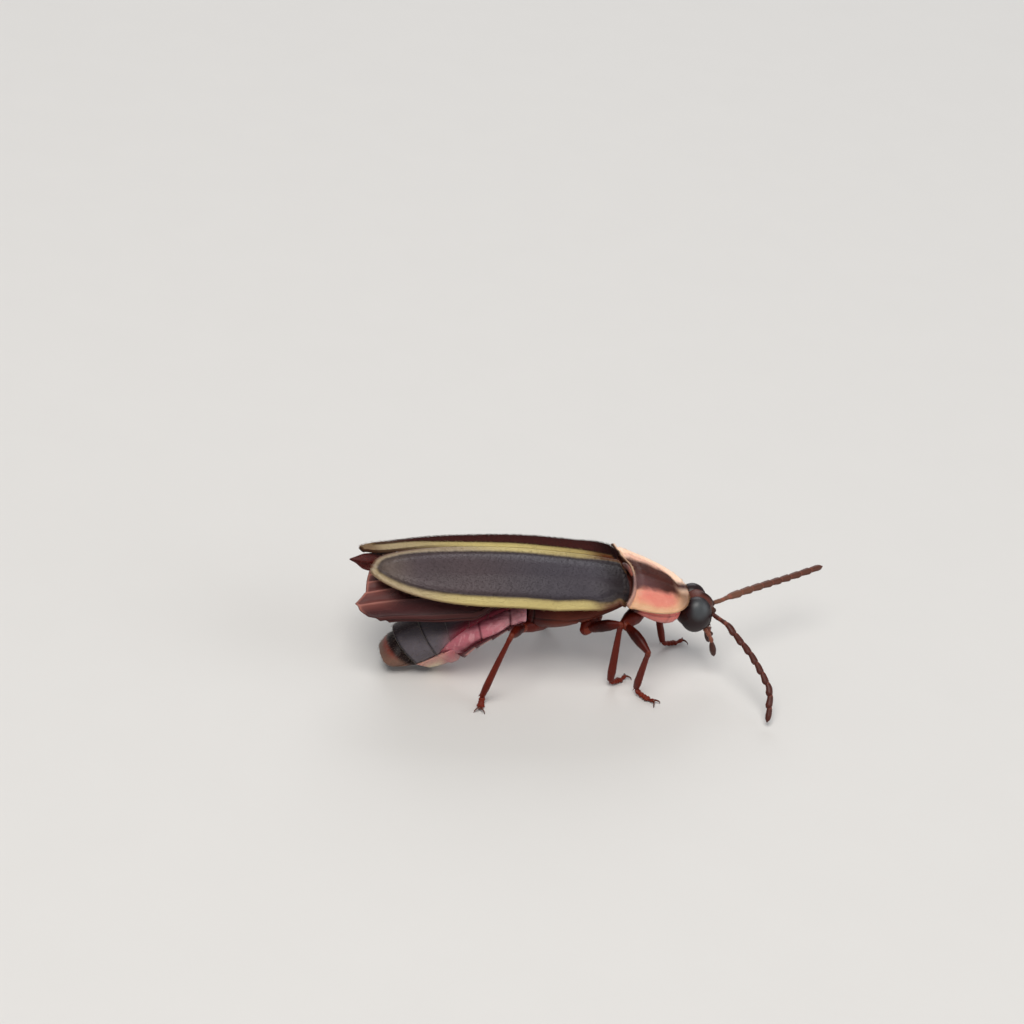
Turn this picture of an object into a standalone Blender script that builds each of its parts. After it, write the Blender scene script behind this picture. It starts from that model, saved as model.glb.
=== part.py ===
"""A firefly standing on its six feet, at life size.

The animal faces +X, its left side is +Y and the floor is z = 0. Sizes are
written in millimetres and turned into metres where a mesh is made. The seam
of the wing cases lies at y = 0, and an empty carries the whole animal so that
its middle stands over the origin.
"""

import math

import bmesh
import bpy
from mathutils import Vector

# Driving sizes, in millimetres
MM = 0.001
GAP = 0.04                # clear space between two pieces
THIN = 0.5                # thickness of wing cases and wings in the solids
SHIELD_THICKNESS = 0.2    # thickness of the neck shield
LIMB_RADIUS = 0.25        # thinnest radius of a leg or feeler in the solids

WING_CASE_FRONT = 2.0     # x of the wing cases' front edge
WING_CASE_LENGTH = 9.35
WING_CASE_HALF_WIDTH = 2.22
WING_CASE_DROP = 1.2      # how far the outer edge lies below the seam
SHOULDER_HALF_WIDTH = 1.88
CREST_X = -3.0            # where the seam is highest
CREST_Z = 5.22
FRONT_FALL = 0.42         # fall of the seam from the crest to its front end
REAR_FALL = 0.52          # and to its rear end
TIP_Y = 0.85              # y of each wing case's rounded tip

SHIELD_REAR = 2.51        # x of the shield's rear edge at the middle
SHIELD_FRONT = 4.76
SHIELD_HALF_WIDTH = 1.98
SHIELD_Z = 4.28
SHIELD_SLOPE = 0.347      # fall of the shield towards the head, for each millimetre
SHIELD_ARCH = 0.30        # fall from its middle line to its sides
SHIELD_ROLL = 0.049       # rise towards its left side, for each millimetre

SOLE_Z = 0.2              # height of a foot's middle line, cut flat at the floor
BODY_SHIFT = (-1.417, -0.102, 0.0)    # brings the middle of the whole outline over the origin

COLOURS = {
    "wing_case": ((0.055, 0.050, 0.058), 0.42),
    "wing": ((0.120, 0.055, 0.050), 0.35),
    "shield": ((0.620, 0.360, 0.240), 0.45),
    "body": ((0.080, 0.030, 0.022), 0.50),
    "belly": ((0.090, 0.070, 0.075), 0.50),
    "lantern": ((0.720, 0.640, 0.430), 0.50),
    "flesh": ((0.420, 0.110, 0.100), 0.50),
    "eye": ((0.012, 0.014, 0.016), 0.15),
    "leg": ((0.060, 0.018, 0.012), 0.45),
    "feeler": ((0.045, 0.020, 0.014), 0.55),
}


# Scene, materials and helpers that make one mesh each

for old in list(bpy.data.objects):
    bpy.data.objects.remove(old, do_unlink=True)

animal = bpy.data.collections.new("firefly")
cutters = bpy.data.collections.new("cutters")
for collection in (animal, cutters):
    bpy.context.scene.collection.children.link(collection)
cutters.hide_render = True

root = bpy.data.objects.new("firefly_root", None)
root.location = Vector(BODY_SHIFT) * MM
root.empty_display_size = MM
animal.objects.link(root)


def material(name):
    """The plain material of one kind of surface, made on its first use."""
    found = bpy.data.materials.get(name)
    if found:
        return found
    colour, roughness = COLOURS[name]
    made = bpy.data.materials.new(name)
    made.use_nodes = True
    shader = made.node_tree.nodes["Principled BSDF"]
    shader.inputs["Base Color"].default_value = (*colour, 1.0)
    shader.inputs["Roughness"].default_value = roughness
    shader.inputs["Metallic"].default_value = 0.0
    return made


def new_object(name, mesh, look):
    """Link a mesh as a part of the animal, or as a cutter where it has no look."""
    obj = bpy.data.objects.new(name, mesh)
    obj.parent = root
    if look is None:
        cutters.objects.link(obj)
        obj.hide_render = True
        obj.display_type = "WIRE"
        return obj
    animal.objects.link(obj)
    mesh.materials.append(material(look))
    for face in mesh.polygons:
        face.use_smooth = True
    return obj


def mesh_from(bm, name):
    """Turn a bmesh that was drawn in millimetres into a mesh in metres."""
    bmesh.ops.recalc_face_normals(bm, faces=bm.faces)
    bmesh.ops.scale(bm, vec=(MM, MM, MM), verts=bm.verts)
    mesh = bpy.data.meshes.new(name)
    bm.to_mesh(mesh)
    bm.free()
    return mesh


def loft(name, rings, look):
    """Skin a row of rings, each a list of as many points, and close both ends."""
    bm = bmesh.new()
    rows = [[bm.verts.new(point) for point in ring] for ring in rings]
    count = len(rings[0])
    for near, far in zip(rows, rows[1:]):
        for i in range(count):
            j = (i + 1) % count
            bm.faces.new((near[i], near[j], far[j], far[i]))
    bm.faces.new(rows[0])
    bm.faces.new(rows[-1])
    return new_object(name, mesh_from(bm, name), look)


def ring(x, z, half_width, up, down, tilt=0.0, sides=20):
    """An oval section across the body, leaning back by tilt radians."""
    points = []
    for i in range(sides):
        angle = 2 * math.pi * i / sides
        y = half_width * math.cos(angle)
        rise = math.sin(angle) * (up if math.sin(angle) > 0 else down)
        points.append((x - rise * math.sin(tilt), y, z + rise * math.cos(tilt)))
    return points


def ellipsoid(name, centre, half_sizes, look, grow=0.0):
    """A sphere stretched to three half sizes and grown by a margin."""
    bm = bmesh.new()
    bmesh.ops.create_uvsphere(bm, u_segments=20, v_segments=12, radius=1.0)
    sizes = [half + grow for half in half_sizes]
    bmesh.ops.scale(bm, vec=sizes, verts=bm.verts)
    obj = new_object(name, mesh_from(bm, name), look)
    obj.location = Vector(centre) * MM
    return obj


def plate(name, surface, rows, columns, thickness, look):
    """A grid laid on surface(u, v), u and v from 0 to 1, thickened downwards."""
    bm = bmesh.new()
    bmesh.ops.create_grid(bm, x_segments=rows, y_segments=columns, size=0.5)
    for vert in bm.verts:
        vert.co = surface(vert.co.x + 0.5, vert.co.y + 0.5)
    mesh = mesh_from(bm, name)
    if mesh.polygons[0].normal.z < 0:
        mesh.flip_normals()
    obj = new_object(name, mesh, look)
    solidify = obj.modifiers.new("Thickness", "SOLIDIFY")
    solidify.thickness = thickness * MM
    solidify.offset = -1.0
    return obj


def tube(name, path, radii, look, resolution=2):
    """A round limb along a path, from a curve whose points carry the radii."""
    curve = bpy.data.curves.new(name, "CURVE")
    curve.dimensions = "3D"
    curve.bevel_depth = MM
    curve.bevel_resolution = resolution
    curve.use_fill_caps = True
    spline = curve.splines.new("POLY")
    spline.points.add(len(path) - 1)
    for point, place, radius in zip(spline.points, path, radii):
        point.co = (*(Vector(place) * MM), 1.0)
        point.radius = radius
    holder = bpy.data.objects.new(name + "_curve", curve)
    bpy.context.scene.collection.objects.link(holder)
    graph = bpy.context.evaluated_depsgraph_get()
    mesh = bpy.data.meshes.new_from_object(holder.evaluated_get(graph))
    bpy.data.objects.remove(holder, do_unlink=True)
    bm = bmesh.new()
    bm.from_mesh(mesh)
    bmesh.ops.remove_doubles(bm, verts=bm.verts, dist=1e-7)
    bmesh.ops.recalc_face_normals(bm, faces=bm.faces)
    bm.to_mesh(mesh)
    bm.free()
    mesh.materials.clear()
    mesh.name = name
    return new_object(name, mesh, look)


def cut(piece, cutter):
    """Take the cutter's shape out of the piece."""
    boolean = piece.modifiers.new("Cut " + cutter.name, "BOOLEAN")
    boolean.operation = "DIFFERENCE"
    boolean.solver = "EXACT"
    boolean.object = cutter


def blend(a, b, share):
    """The value that lies at this share of the way from a to b."""
    return a + (b - a) * share


def ramp(value, start, end):
    """0 before start and 1 past end, eased between them."""
    share = min(1.0, max(0.0, (value - start) / (end - start)))
    return share * share * (3 - 2 * share)


def spline_path(points, steps):
    """A smooth path through the points, with so many steps between two of them."""
    places = [Vector(point) for point in points]
    ends = [places[0] * 2 - places[1], *places, places[-1] * 2 - places[-2]]
    path = []
    for i in range(1, len(ends) - 2):
        before, start, end, after = ends[i - 1 : i + 3]
        for step in range(steps):
            t = step / steps
            path.append(
                0.5 * (2 * start + (end - before) * t
                       + (2 * before - 5 * start + 4 * end - after) * t ** 2
                       + (3 * start - before - 3 * end + after) * t ** 3)
            )
    path.append(places[-1])
    return path


# Wing cases: two long shells that meet along the seam and part towards their tips

def seam_height(x):
    """Height of the wing cases' top along the middle line."""
    if x > CREST_X:
        return CREST_Z - FRONT_FALL * ((x - CREST_X) / (WING_CASE_FRONT - CREST_X)) ** 2
    rear = WING_CASE_FRONT - WING_CASE_LENGTH
    return CREST_Z - REAR_FALL * ((x - CREST_X) / (rear - CREST_X)) ** 2


def case_drop(x, y):
    """How far a wing case lies below the seam, flat-topped in front and arched behind."""
    flatness = blend(3.4, 2.3, ramp(-x, -1.0, 5.0))
    return WING_CASE_DROP * (abs(y) / WING_CASE_HALF_WIDTH) ** flatness


def case_outer(share):
    """Outer edge of a wing case at this share of its length."""
    shoulder = blend(SHOULDER_HALF_WIDTH, 2.10, ramp(share, 0.0, 0.04))
    side = blend(shoulder, WING_CASE_HALF_WIDTH, ramp(share, 0.0, 0.3))
    if share < 0.5:
        return side
    round_off = (1 - ((share - 0.5) / 0.5) ** 2.5) ** (1 / 1.6)
    return TIP_Y + (side - TIP_Y) * round_off


def case_inner(share):
    """Inner edge of a wing case, straight along the seam and round at its tip."""
    if share < 0.74:
        return GAP / 2
    round_off = (1 - ((share - 0.74) / 0.26) ** 4.5) ** (1 / 2.4)
    return TIP_Y - (TIP_Y - GAP / 2) * round_off


def wing_case(name, side, length):
    """One wing case, side being 1 for the left one and -1 for the right one."""

    def surface(u, v):
        share = min(0.997, 1 - (1 - u) ** 1.5)
        y = blend(case_inner(share), case_outer(share), v)
        base_curve = 0.10 * math.sin(math.pi * v) * ramp(1 - share, 0.9, 1.0)
        x = WING_CASE_FRONT - share * length + base_curve
        return Vector((x, side * y, seam_height(x) - case_drop(x, y)))

    return plate(name, surface, 20, 8, THIN, "wing_case")


wing_case("elytron_right", -1, WING_CASE_LENGTH - 0.1)
wing_case("elytron_left", 1, WING_CASE_LENGTH + 0.15)


# Hind wings: folded under the wing cases, their pleated edge hanging out below

WING_FRONT = 0.9
WING_REAR = -7.72
WING_DEPTH = 0.56         # top of a wing below the top of its wing case
CURTAIN = 0.42            # further drop of the hanging edge
WING_TIP_SHARE = 0.72     # how far out across a wing its rear tip lies
INNER_CORNER_PULL = 0.70  # how far forward of that tip the rear edge's inner end lies
OUTER_CORNER_PULL = 0.60  # and its outer end


def wing_drop(x, y):
    """How far a folded wing lies below the seam's height."""
    hang = CURTAIN * ramp(-x, 1.5, 3.5) * (abs(y) / 1.8) ** 4
    return WING_DEPTH + 1.25 * case_drop(x, y) + hang


def wing_outer(x):
    """Outer edge of a folded wing, wide behind the thorax and round at the rear."""
    width = blend(0.95, 1.32, ramp(-x, -WING_FRONT, 1.4))
    width = blend(width, 1.8, ramp(-x, 1.4, 3.6))
    return width - 0.45 * ramp(-x, 6.6, -WING_REAR + 0.2)


def hind_wing(name, side, rear, inner_rear, apex_rise=0.0):
    """One folded wing; a rise lifts its inner corner between the wing cases' tips."""

    def surface(u, v):
        x = blend(WING_FRONT, rear, u)
        inner = blend(0.03, inner_rear, ramp(-x, 6.2, -rear))
        y = blend(inner, wing_outer(x), v)
        if v < WING_TIP_SHARE:
            pull = INNER_CORNER_PULL * (1 - v / WING_TIP_SHARE) ** 2
        else:
            pull = OUTER_CORNER_PULL * ((v - WING_TIP_SHARE) / (1 - WING_TIP_SHARE)) ** 2
        if apex_rise:
            pull *= ramp(v, 0.0, 0.3)
        x += pull * ramp(u, 0.75, 1.0)
        rise = apex_rise * ramp(-x, 7.2, 7.7) * ramp(0.5 - y, 0.0, 0.4)
        return Vector((x, side * y, seam_height(x) - wing_drop(x, y) + rise))

    return plate(name, surface, 18, 8, THIN, "wing")


hind_wing("hind_wing_right", -1, WING_REAR, 0.40)
hind_wing("hind_wing_left", 1, WING_REAR, 0.03, apex_rise=0.42)


# Neck shield: the flat plate that covers the front of the thorax and the nape

SHIELD_WIDEST = 0.05      # how far along the shield is widest
SHIELD_CORNERS = 0.47     # how far its hind corners reach back past the middle


def shield_height(x, y):
    """Height of the shield's top."""
    fall = SHIELD_ARCH * (y / SHIELD_HALF_WIDTH) ** 2
    return SHIELD_Z - SHIELD_SLOPE * (x - SHIELD_REAR) + SHIELD_ROLL * y - fall


def shield_outline(share):
    """Half width of the shield, share running from its hind corners to its front."""
    if share < SHIELD_WIDEST:
        return SHIELD_HALF_WIDTH * blend(0.985, 1.0, share / SHIELD_WIDEST)
    along = (share - SHIELD_WIDEST) / (1 - SHIELD_WIDEST)
    return SHIELD_HALF_WIDTH * (1 - along ** 1.97) ** (1 / 2.26)


def shield_surface(u, v):
    share = min(0.995, 1 - (1 - u) ** 1.5)
    y = (2 * v - 1) * shield_outline(share)
    corner = SHIELD_CORNERS * (abs(y) / SHIELD_HALF_WIDTH) ** 2.5 * (1 - share)
    x = blend(SHIELD_REAR, SHIELD_FRONT, share) - corner
    return Vector((x, y, shield_height(x, y)))


plate("pronotum", shield_surface, 12, 12, SHIELD_THICKNESS, "shield")


# Front of the thorax, under the shield, and the part that carries both wing pairs

prothorax = loft(
    "prothorax",
    [
        ring(2.30, 3.60, 1.05, 0.42, 0.25),
        ring(2.42, 3.55, 1.22, 0.50, 0.40),
        ring(2.95, 3.40, 1.32, 0.48, 0.55),
        ring(3.50, 3.22, 1.28, 0.46, 0.62),
        ring(4.00, 3.10, 1.12, 0.42, 0.60),
        ring(4.25, 3.05, 0.92, 0.38, 0.48),
        ring(4.36, 3.02, 0.75, 0.32, 0.36),
    ],
    "flesh",
)

thorax = loft(
    "thorax",
    [
        ring(2.24, 3.62, 0.95, 0.30, 0.30),
        ring(2.05, 3.58, 1.15, 0.48, 0.48),
        ring(1.30, 3.35, 1.38, 0.66, 0.68),
        ring(0.80, 3.20, 1.45, 0.62, 0.78),
        ring(0.00, 3.10, 1.47, 0.78, 0.95),
        ring(-0.80, 3.10, 1.45, 0.84, 0.98),
        ring(-1.25, 3.12, 1.38, 0.80, 0.88),
        ring(-1.40, 3.12, 1.20, 0.62, 0.62),
    ],
    "body",
)

loft(
    "scutellum",
    [
        ring(2.44, 4.13, 0.62, 0.08, 0.06),
        ring(2.30, 4.22, 0.75, 0.14, 0.12),
        ring(2.16, 4.36, 0.55, 0.16, 0.20),
        ring(2.08, 4.46, 0.30, 0.12, 0.20),
    ],
    "flesh",
)


# Head: a short capsule between two very large eyes, with the mouth below

EYE_CENTRE = (5.09, 0.48, 2.80)
EYE_HALF_SIZES = (0.58, 0.48, 0.72)

head = loft(
    "head",
    [
        ring(4.41, 2.92, 0.45, 0.26, 0.34),
        ring(4.48, 2.90, 0.66, 0.38, 0.50),
        ring(4.72, 2.86, 0.84, 0.44, 0.66),
        ring(4.95, 2.83, 0.90, 0.60, 0.74),
        ring(5.16, 2.80, 0.86, 0.68, 0.76),
        ring(5.40, 2.78, 0.72, 0.62, 0.74),
        ring(5.60, 2.76, 0.50, 0.50, 0.66),
        ring(5.74, 2.74, 0.28, 0.32, 0.46),
    ],
    "body",
)

eye_rooms = {}
for label, side in (("right", -1), ("left", 1)):
    centre = Vector((EYE_CENTRE[0], side * EYE_CENTRE[1], EYE_CENTRE[2]))
    ellipsoid("eye_" + label, centre, EYE_HALF_SIZES, "eye")
    eye_rooms[label] = ellipsoid("eye_room_" + label, centre, EYE_HALF_SIZES, None, grow=GAP)
    cut(head, eye_rooms[label])


# Feelers: eleven short segments in a row, thickest a third of the way along

FEELER_STARTS = {"right": (5.88, -0.26, 2.82), "left": (5.85, 0.22, 2.90)}
FEELER_ROUTES = {
    "right": [(6.05, -0.70, 2.70), (6.51, -1.20, 2.40), (7.02, -1.95, 2.01), (7.46, -2.72, 1.46),
              (7.60, -3.14, 1.02), (7.54, -3.66, 0.34)],
    "left": [(6.58, 0.60, 2.98), (7.70, 1.22, 3.02), (9.20, 2.06, 3.00), (10.68, 2.80, 3.08)],
}

for label, start in FEELER_STARTS.items():
    path = spline_path([start, *FEELER_ROUTES[label]], 4)
    last = len(path) - 1
    radii = [LIMB_RADIUS * (0.8 if i in (0, last) else 1.04) for i in range(last + 1)]
    feeler = tube("antenna_" + label, path, radii, "feeler", resolution=1)
    cut(feeler, eye_rooms[label])

# Palps: the jointed pair of tasters that hang under the mouth
PALP_PATH = [(5.60, 0.31, 1.96), (5.77, 0.42, 1.72), (5.90, 0.46, 1.40), (6.02, 0.48, 1.05)]

for label, side in (("right", -1), ("left", 1)):
    path = [(x, side * y, z) for x, y, z in PALP_PATH]
    tube("palp_" + label, path, [0.22, 0.26, 0.27, 0.16], "feeler", resolution=1)


# Abdomen: seven rings that droop behind the thorax, the last ones with the lantern

ABDOMEN_RINGS = [
    # share, x, z, lean in degrees, half width, height above z, depth below z
    (0.0, -1.46, 3.02, 4, 1.36, 0.74, 0.64),
    (0.11, -2.00, 2.80, 6, 1.40, 0.72, 0.66),
    (0.235, -2.60, 2.50, 11, 1.48, 0.70, 0.74),
    (0.375, -3.24, 2.18, 18, 1.50, 0.69, 0.86),
    (0.53, -3.92, 1.83, 31, 1.38, 0.74, 1.08),
    (0.715, -4.66, 1.42, 44, 1.12, 0.84, 1.45),
    (0.875, -5.52, 1.03, 50, 0.88, 0.72, 1.22),
    (0.94, -5.96, 0.84, 54, 0.84, 0.50, 1.08),
    (0.985, -6.20, 0.72, 56, 0.76, 0.36, 0.96),
    (1.0, -6.30, 0.68, 56, 0.50, 0.20, 0.60),
]
SEGMENT_ENDS = (0.0, 0.11, 0.235, 0.375, 0.53, 0.70, 0.865, 1.0)
SEGMENT_GAP = 0.010       # clear share of the length between two rings


def abdomen_ring(share, swell):
    """Section of the abdomen at this share of its length."""
    for before, after in zip(ABDOMEN_RINGS, ABDOMEN_RINGS[1:]):
        if share <= after[0]:
            break
    part = (share - before[0]) / (after[0] - before[0])
    x, z, lean, width, height, belly = (blend(a, b, part) for a, b in zip(before[1:], after[1:]))
    size = 1 + swell
    return ring(x, z, width * size, height * size, belly * size, math.radians(lean))


for index, (first, final) in enumerate(zip(SEGMENT_ENDS, SEGMENT_ENDS[1:]), start=1):
    start = first + SEGMENT_GAP / 2
    end = final - SEGMENT_GAP / 2
    rings = [
        abdomen_ring(start, -0.05),
        abdomen_ring(blend(start, end, 0.12), -0.01),
        abdomen_ring(blend(start, end, 0.55), 0.015),
        abdomen_ring(blend(start, end, 0.93), 0.03 if index < 7 else 0.0),
        abdomen_ring(end, -0.02),
    ]
    loft(f"abdomen_{index}", rings, "lantern" if index in (5, 6) else "belly")


# Legs: coxa, femur, tibia and a foot that is cut flat at the floor

LEG_POINTS = {
    # leg: hip, knob, knee, ankle and toe
    "front_right": [(2.87, -0.62, 2.95), (2.22, -1.22, 2.82), (2.94, -2.52, 2.42), (2.94, -1.65, 0.34),
                    (3.62, -2.36, 0.0)],
    "middle_right": [(1.24, -0.72, 2.86), (0.79, -1.20, 2.48), (1.93, -1.80, 3.15), (2.05, -1.16, 0.34),
                     (2.84, -0.56, 0.0)],
    "hind_right": [(-0.45, -0.55, 2.50), (-1.50, -1.34, 2.44), (-2.25, -2.80, 3.19), (-2.92, -2.38, 0.34),
                   (-3.08, -3.00, 0.0)],
    "front_left": [(2.87, 0.62, 2.95), (3.02, 1.22, 2.50), (4.05, 2.40, 2.25), (4.54, 1.58, 0.34),
                   (5.56, 1.98, 0.0)],
    "middle_left": [(1.24, 0.72, 2.86), (0.86, 1.20, 2.46), (0.60, 2.70, 2.98), (0.28, 3.10, 0.34),
                    (-0.02, 4.02, 0.0)],
    "hind_left": [(-0.25, 0.55, 2.40), (-0.80, 1.07, 2.27), (-2.30, 2.52, 2.98), (-3.02, 2.74, 0.34),
                  (-3.44, 3.62, 0.0)],
}
JOINT_CLEARANCE = 0.12    # how far each length starts past its joint's middle
LIMB_INSET = 0.04         # share of a length that is left free at each of its ends
FEMUR_BOW = 0.05          # rise of the middle of a femur
TIBIA_BOW = 0.03          # and of a tibia
COXA_RADII = (0.34, 0.40, 0.34, 0.25)
FEMUR_RADII = (0.20, 0.26, 0.30, 0.31, 0.28, 0.20)
TIBIA_RADII = (0.18, 0.25, 0.25, 0.25, 0.26, 0.19)
FOOT_RADII = (0.20, 0.25, 0.26, 0.30, 0.25, 0.14)


def limb(name, start, end, radii, look, bow=0.0, grow=0.0):
    """A tapering length between two joints, bowed upwards at its middle."""
    last = len(radii) - 1
    path = []
    for i in range(last + 1):
        share = min(1 - LIMB_INSET, max(LIMB_INSET, i / last))
        point = Vector(start).lerp(Vector(end), share)
        point.z += bow * math.sin(math.pi * share)
        path.append(point)
    return tube(name, path, [radius + grow for radius in radii], look, resolution=1)


def flatten_sole(foot):
    """Cut a foot off at the floor, so that it stands on a flat."""
    bm = bmesh.new()
    bm.from_mesh(foot.data)
    everything = [*bm.verts, *bm.edges, *bm.faces]
    cut_result = bmesh.ops.bisect_plane(
        bm, geom=everything, plane_co=(0, 0, 0), plane_no=(0, 0, -1), clear_outer=True, dist=1e-8
    )
    edges = [item for item in cut_result["geom_cut"] if isinstance(item, bmesh.types.BMEdge)]
    bmesh.ops.contextual_create(bm, geom=edges)
    bmesh.ops.recalc_face_normals(bm, faces=bm.faces)
    bm.to_mesh(foot.data)
    bm.free()


def toward(start, end, distance):
    """The point this far from start on the way to end."""
    start, end = Vector(start), Vector(end)
    return start + (end - start).normalized() * distance


def leg(label, hip, knob, knee, ankle, toe):
    """The four lengths of one leg, each cut clear of the one before it."""
    carrier = prothorax if label.startswith("front") else thorax
    coxa = (hip, knob, COXA_RADII)
    femur = (toward(knob, knee, JOINT_CLEARANCE), knee, FEMUR_RADII)
    tibia = (toward(knee, ankle, JOINT_CLEARANCE), ankle, TIBIA_RADII)
    heel = Vector((ankle[0], ankle[1], SOLE_Z))
    tip = Vector((toe[0], toe[1], SOLE_Z))
    foot = (toward(heel, tip, -JOINT_CLEARANCE), tip, FOOT_RADII)

    limb("coxa_" + label, *coxa, "leg")
    cut(carrier, limb("coxa_room_" + label, *coxa, None, grow=GAP))
    femur_piece = limb("femur_" + label, *femur, "leg", bow=FEMUR_BOW)
    cut(femur_piece, limb("knob_room_" + label, *coxa, None, grow=GAP))
    tibia_piece = limb("tibia_" + label, *tibia, "leg", bow=TIBIA_BOW)
    cut(tibia_piece, limb("knee_room_" + label, *femur, None, bow=FEMUR_BOW, grow=GAP))
    foot_piece = limb("tarsus_" + label, *foot, "leg")
    flatten_sole(foot_piece)
    cut(foot_piece, limb("ankle_room_" + label, *tibia, None, bow=TIBIA_BOW, grow=GAP))


for label, points in LEG_POINTS.items():
    leg(label, *points)
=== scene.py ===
"""Looks of a firefly that stands on its six feet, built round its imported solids.

Lengths are millimetres in the frame of the wing cases: +X is the way the animal
faces, +Y its left side, y = 0 the seam between the wing cases, z = 0 the floor.
Each piece's object stands at the one place that brings this frame into the row's.
"""

import math

import bpy
import numpy as np
from mathutils import Matrix, Vector


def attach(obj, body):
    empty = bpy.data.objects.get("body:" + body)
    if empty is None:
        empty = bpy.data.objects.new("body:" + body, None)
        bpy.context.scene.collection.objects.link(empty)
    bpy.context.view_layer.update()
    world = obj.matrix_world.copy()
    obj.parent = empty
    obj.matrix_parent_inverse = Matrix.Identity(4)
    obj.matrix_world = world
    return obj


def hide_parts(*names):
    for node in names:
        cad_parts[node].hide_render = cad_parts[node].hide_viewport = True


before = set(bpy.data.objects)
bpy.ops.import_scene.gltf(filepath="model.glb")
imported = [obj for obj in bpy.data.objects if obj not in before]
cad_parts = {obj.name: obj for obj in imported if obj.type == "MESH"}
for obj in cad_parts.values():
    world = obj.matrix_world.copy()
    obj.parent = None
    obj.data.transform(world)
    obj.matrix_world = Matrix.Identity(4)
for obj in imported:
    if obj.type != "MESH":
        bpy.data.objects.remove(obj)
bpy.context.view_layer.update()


# Thorax. The drum behind the neck shield, which carries both pairs of wings and
# the middle and hind legs: hard brown plates of chitin that meet in fine seams,
# each seam sunk a little and stained darker.

MM = 0.001
SEAM_TO_ROW = Vector((-1.417, -0.102, 0.0)) * MM
THORAX_RINGS = [
    # x, z, half width, height above z, depth below z
    (2.24, 3.62, 0.95, 0.30, 0.30),
    (2.05, 3.58, 1.15, 0.48, 0.42),
    (1.30, 3.35, 1.38, 0.66, 0.50),
    (0.80, 3.20, 1.45, 0.62, 0.60),
    (0.00, 3.10, 1.47, 0.78, 0.84),
    (-0.80, 3.10, 1.45, 0.84, 0.94),
    (-1.22, 3.12, 1.40, 0.80, 0.90),
    (-1.40, 3.09, 1.32, 0.68, 0.70),
]
MID_BACK = [
    # the low back between the shield and the wing cases, in the same five sizes
    (2.58, 4.00, 1.30, 0.08, 0.30),
    (2.40, 4.04, 1.72, 0.15, 0.36),
    (2.05, 4.10, 1.78, 0.12, 0.36),
    (1.75, 4.18, 1.60, 0.16, 0.40),
    (1.55, 4.20, 1.00, 0.10, 0.30),
]
BACK_TILT, BACK_ARCH = 0.049, 0.077
rng = np.random.default_rng(7)


def tone(red, green, blue):
    """A colour from its screen values, 0 to 255, as the shader takes it."""
    screen = np.array([red, green, blue]) / 255
    linear = np.where(screen > 0.04045, ((screen + 0.055) / 1.055) ** 2.4, screen / 12.92)
    return (*linear.tolist(), 1.0)


def blend(first, second, share):
    """The value this share of the way from the first to the second."""
    return first + (second - first) * share


def ramp(value, start, end):
    """0 before start and 1 past end, eased between them."""
    share = np.clip((value - start) / (end - start), 0.0, 1.0)
    return share * share * (3 - 2 * share)


def hill(value, centre, width):
    """1 at the centre, falling off over about this width on either side."""
    return np.exp(-(((value - centre) / width) ** 2))


def through(keys, count):
    """Rows on a smooth curve through the rows of keys."""
    keys = np.asarray(keys, float)
    ends = np.concatenate([[2 * keys[0] - keys[1]], keys, [2 * keys[-1] - keys[-2]]])
    at = np.linspace(0, len(keys) - 1, count)
    first = np.minimum(at.astype(int), len(keys) - 2)
    t = (at - first)[:, None]
    a, b, c, d = (ends[first + k] for k in range(4))
    return 0.5 * (2 * b + (c - a) * t + (2 * a - 5 * b + 4 * c - d) * t ** 2 + (3 * b - a - 3 * c + d) * t ** 3)


def unit(vectors):
    return vectors / np.maximum(np.linalg.norm(vectors, axis=-1, keepdims=True), 1e-9)


def normals_of(grid, around=False):
    """Unit normals of a grid of points, whose columns may run all round."""
    if around:
        grid = np.concatenate([grid[:, -1:], grid, grid[:, :1]], axis=1)
    normals = unit(np.cross(np.gradient(grid, axis=0), np.gradient(grid, axis=1)))
    return normals[:, 1:-1] if around else normals


def ovals(rings, columns, tilt=0.0):
    """A tube of ovals across the body, one for each (x, z, half width, up, down)."""
    x, z, half_width, up, down = (column[:, None] for column in np.asarray(rings, float).T)
    angle = np.linspace(0, 2 * math.pi, columns, endpoint=False)[None, :]
    rise = np.sin(angle) * np.where(np.sin(angle) > 0, up, down)
    lean = np.asarray(tilt, float)
    lean = lean[:, None] if lean.ndim else lean
    flat = np.zeros_like(rise)
    return np.stack([x - rise * np.sin(lean) + flat, half_width * np.cos(angle), z + rise * np.cos(lean) + flat], -1)


def from_below(columns):
    """Degrees round the body of each column of ovals(): 0 underneath, 180 on top."""
    angle = np.linspace(0, 360, columns, endpoint=False)[None, :]
    return np.abs((angle + 90 + 180) % 360 - 180)


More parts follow.
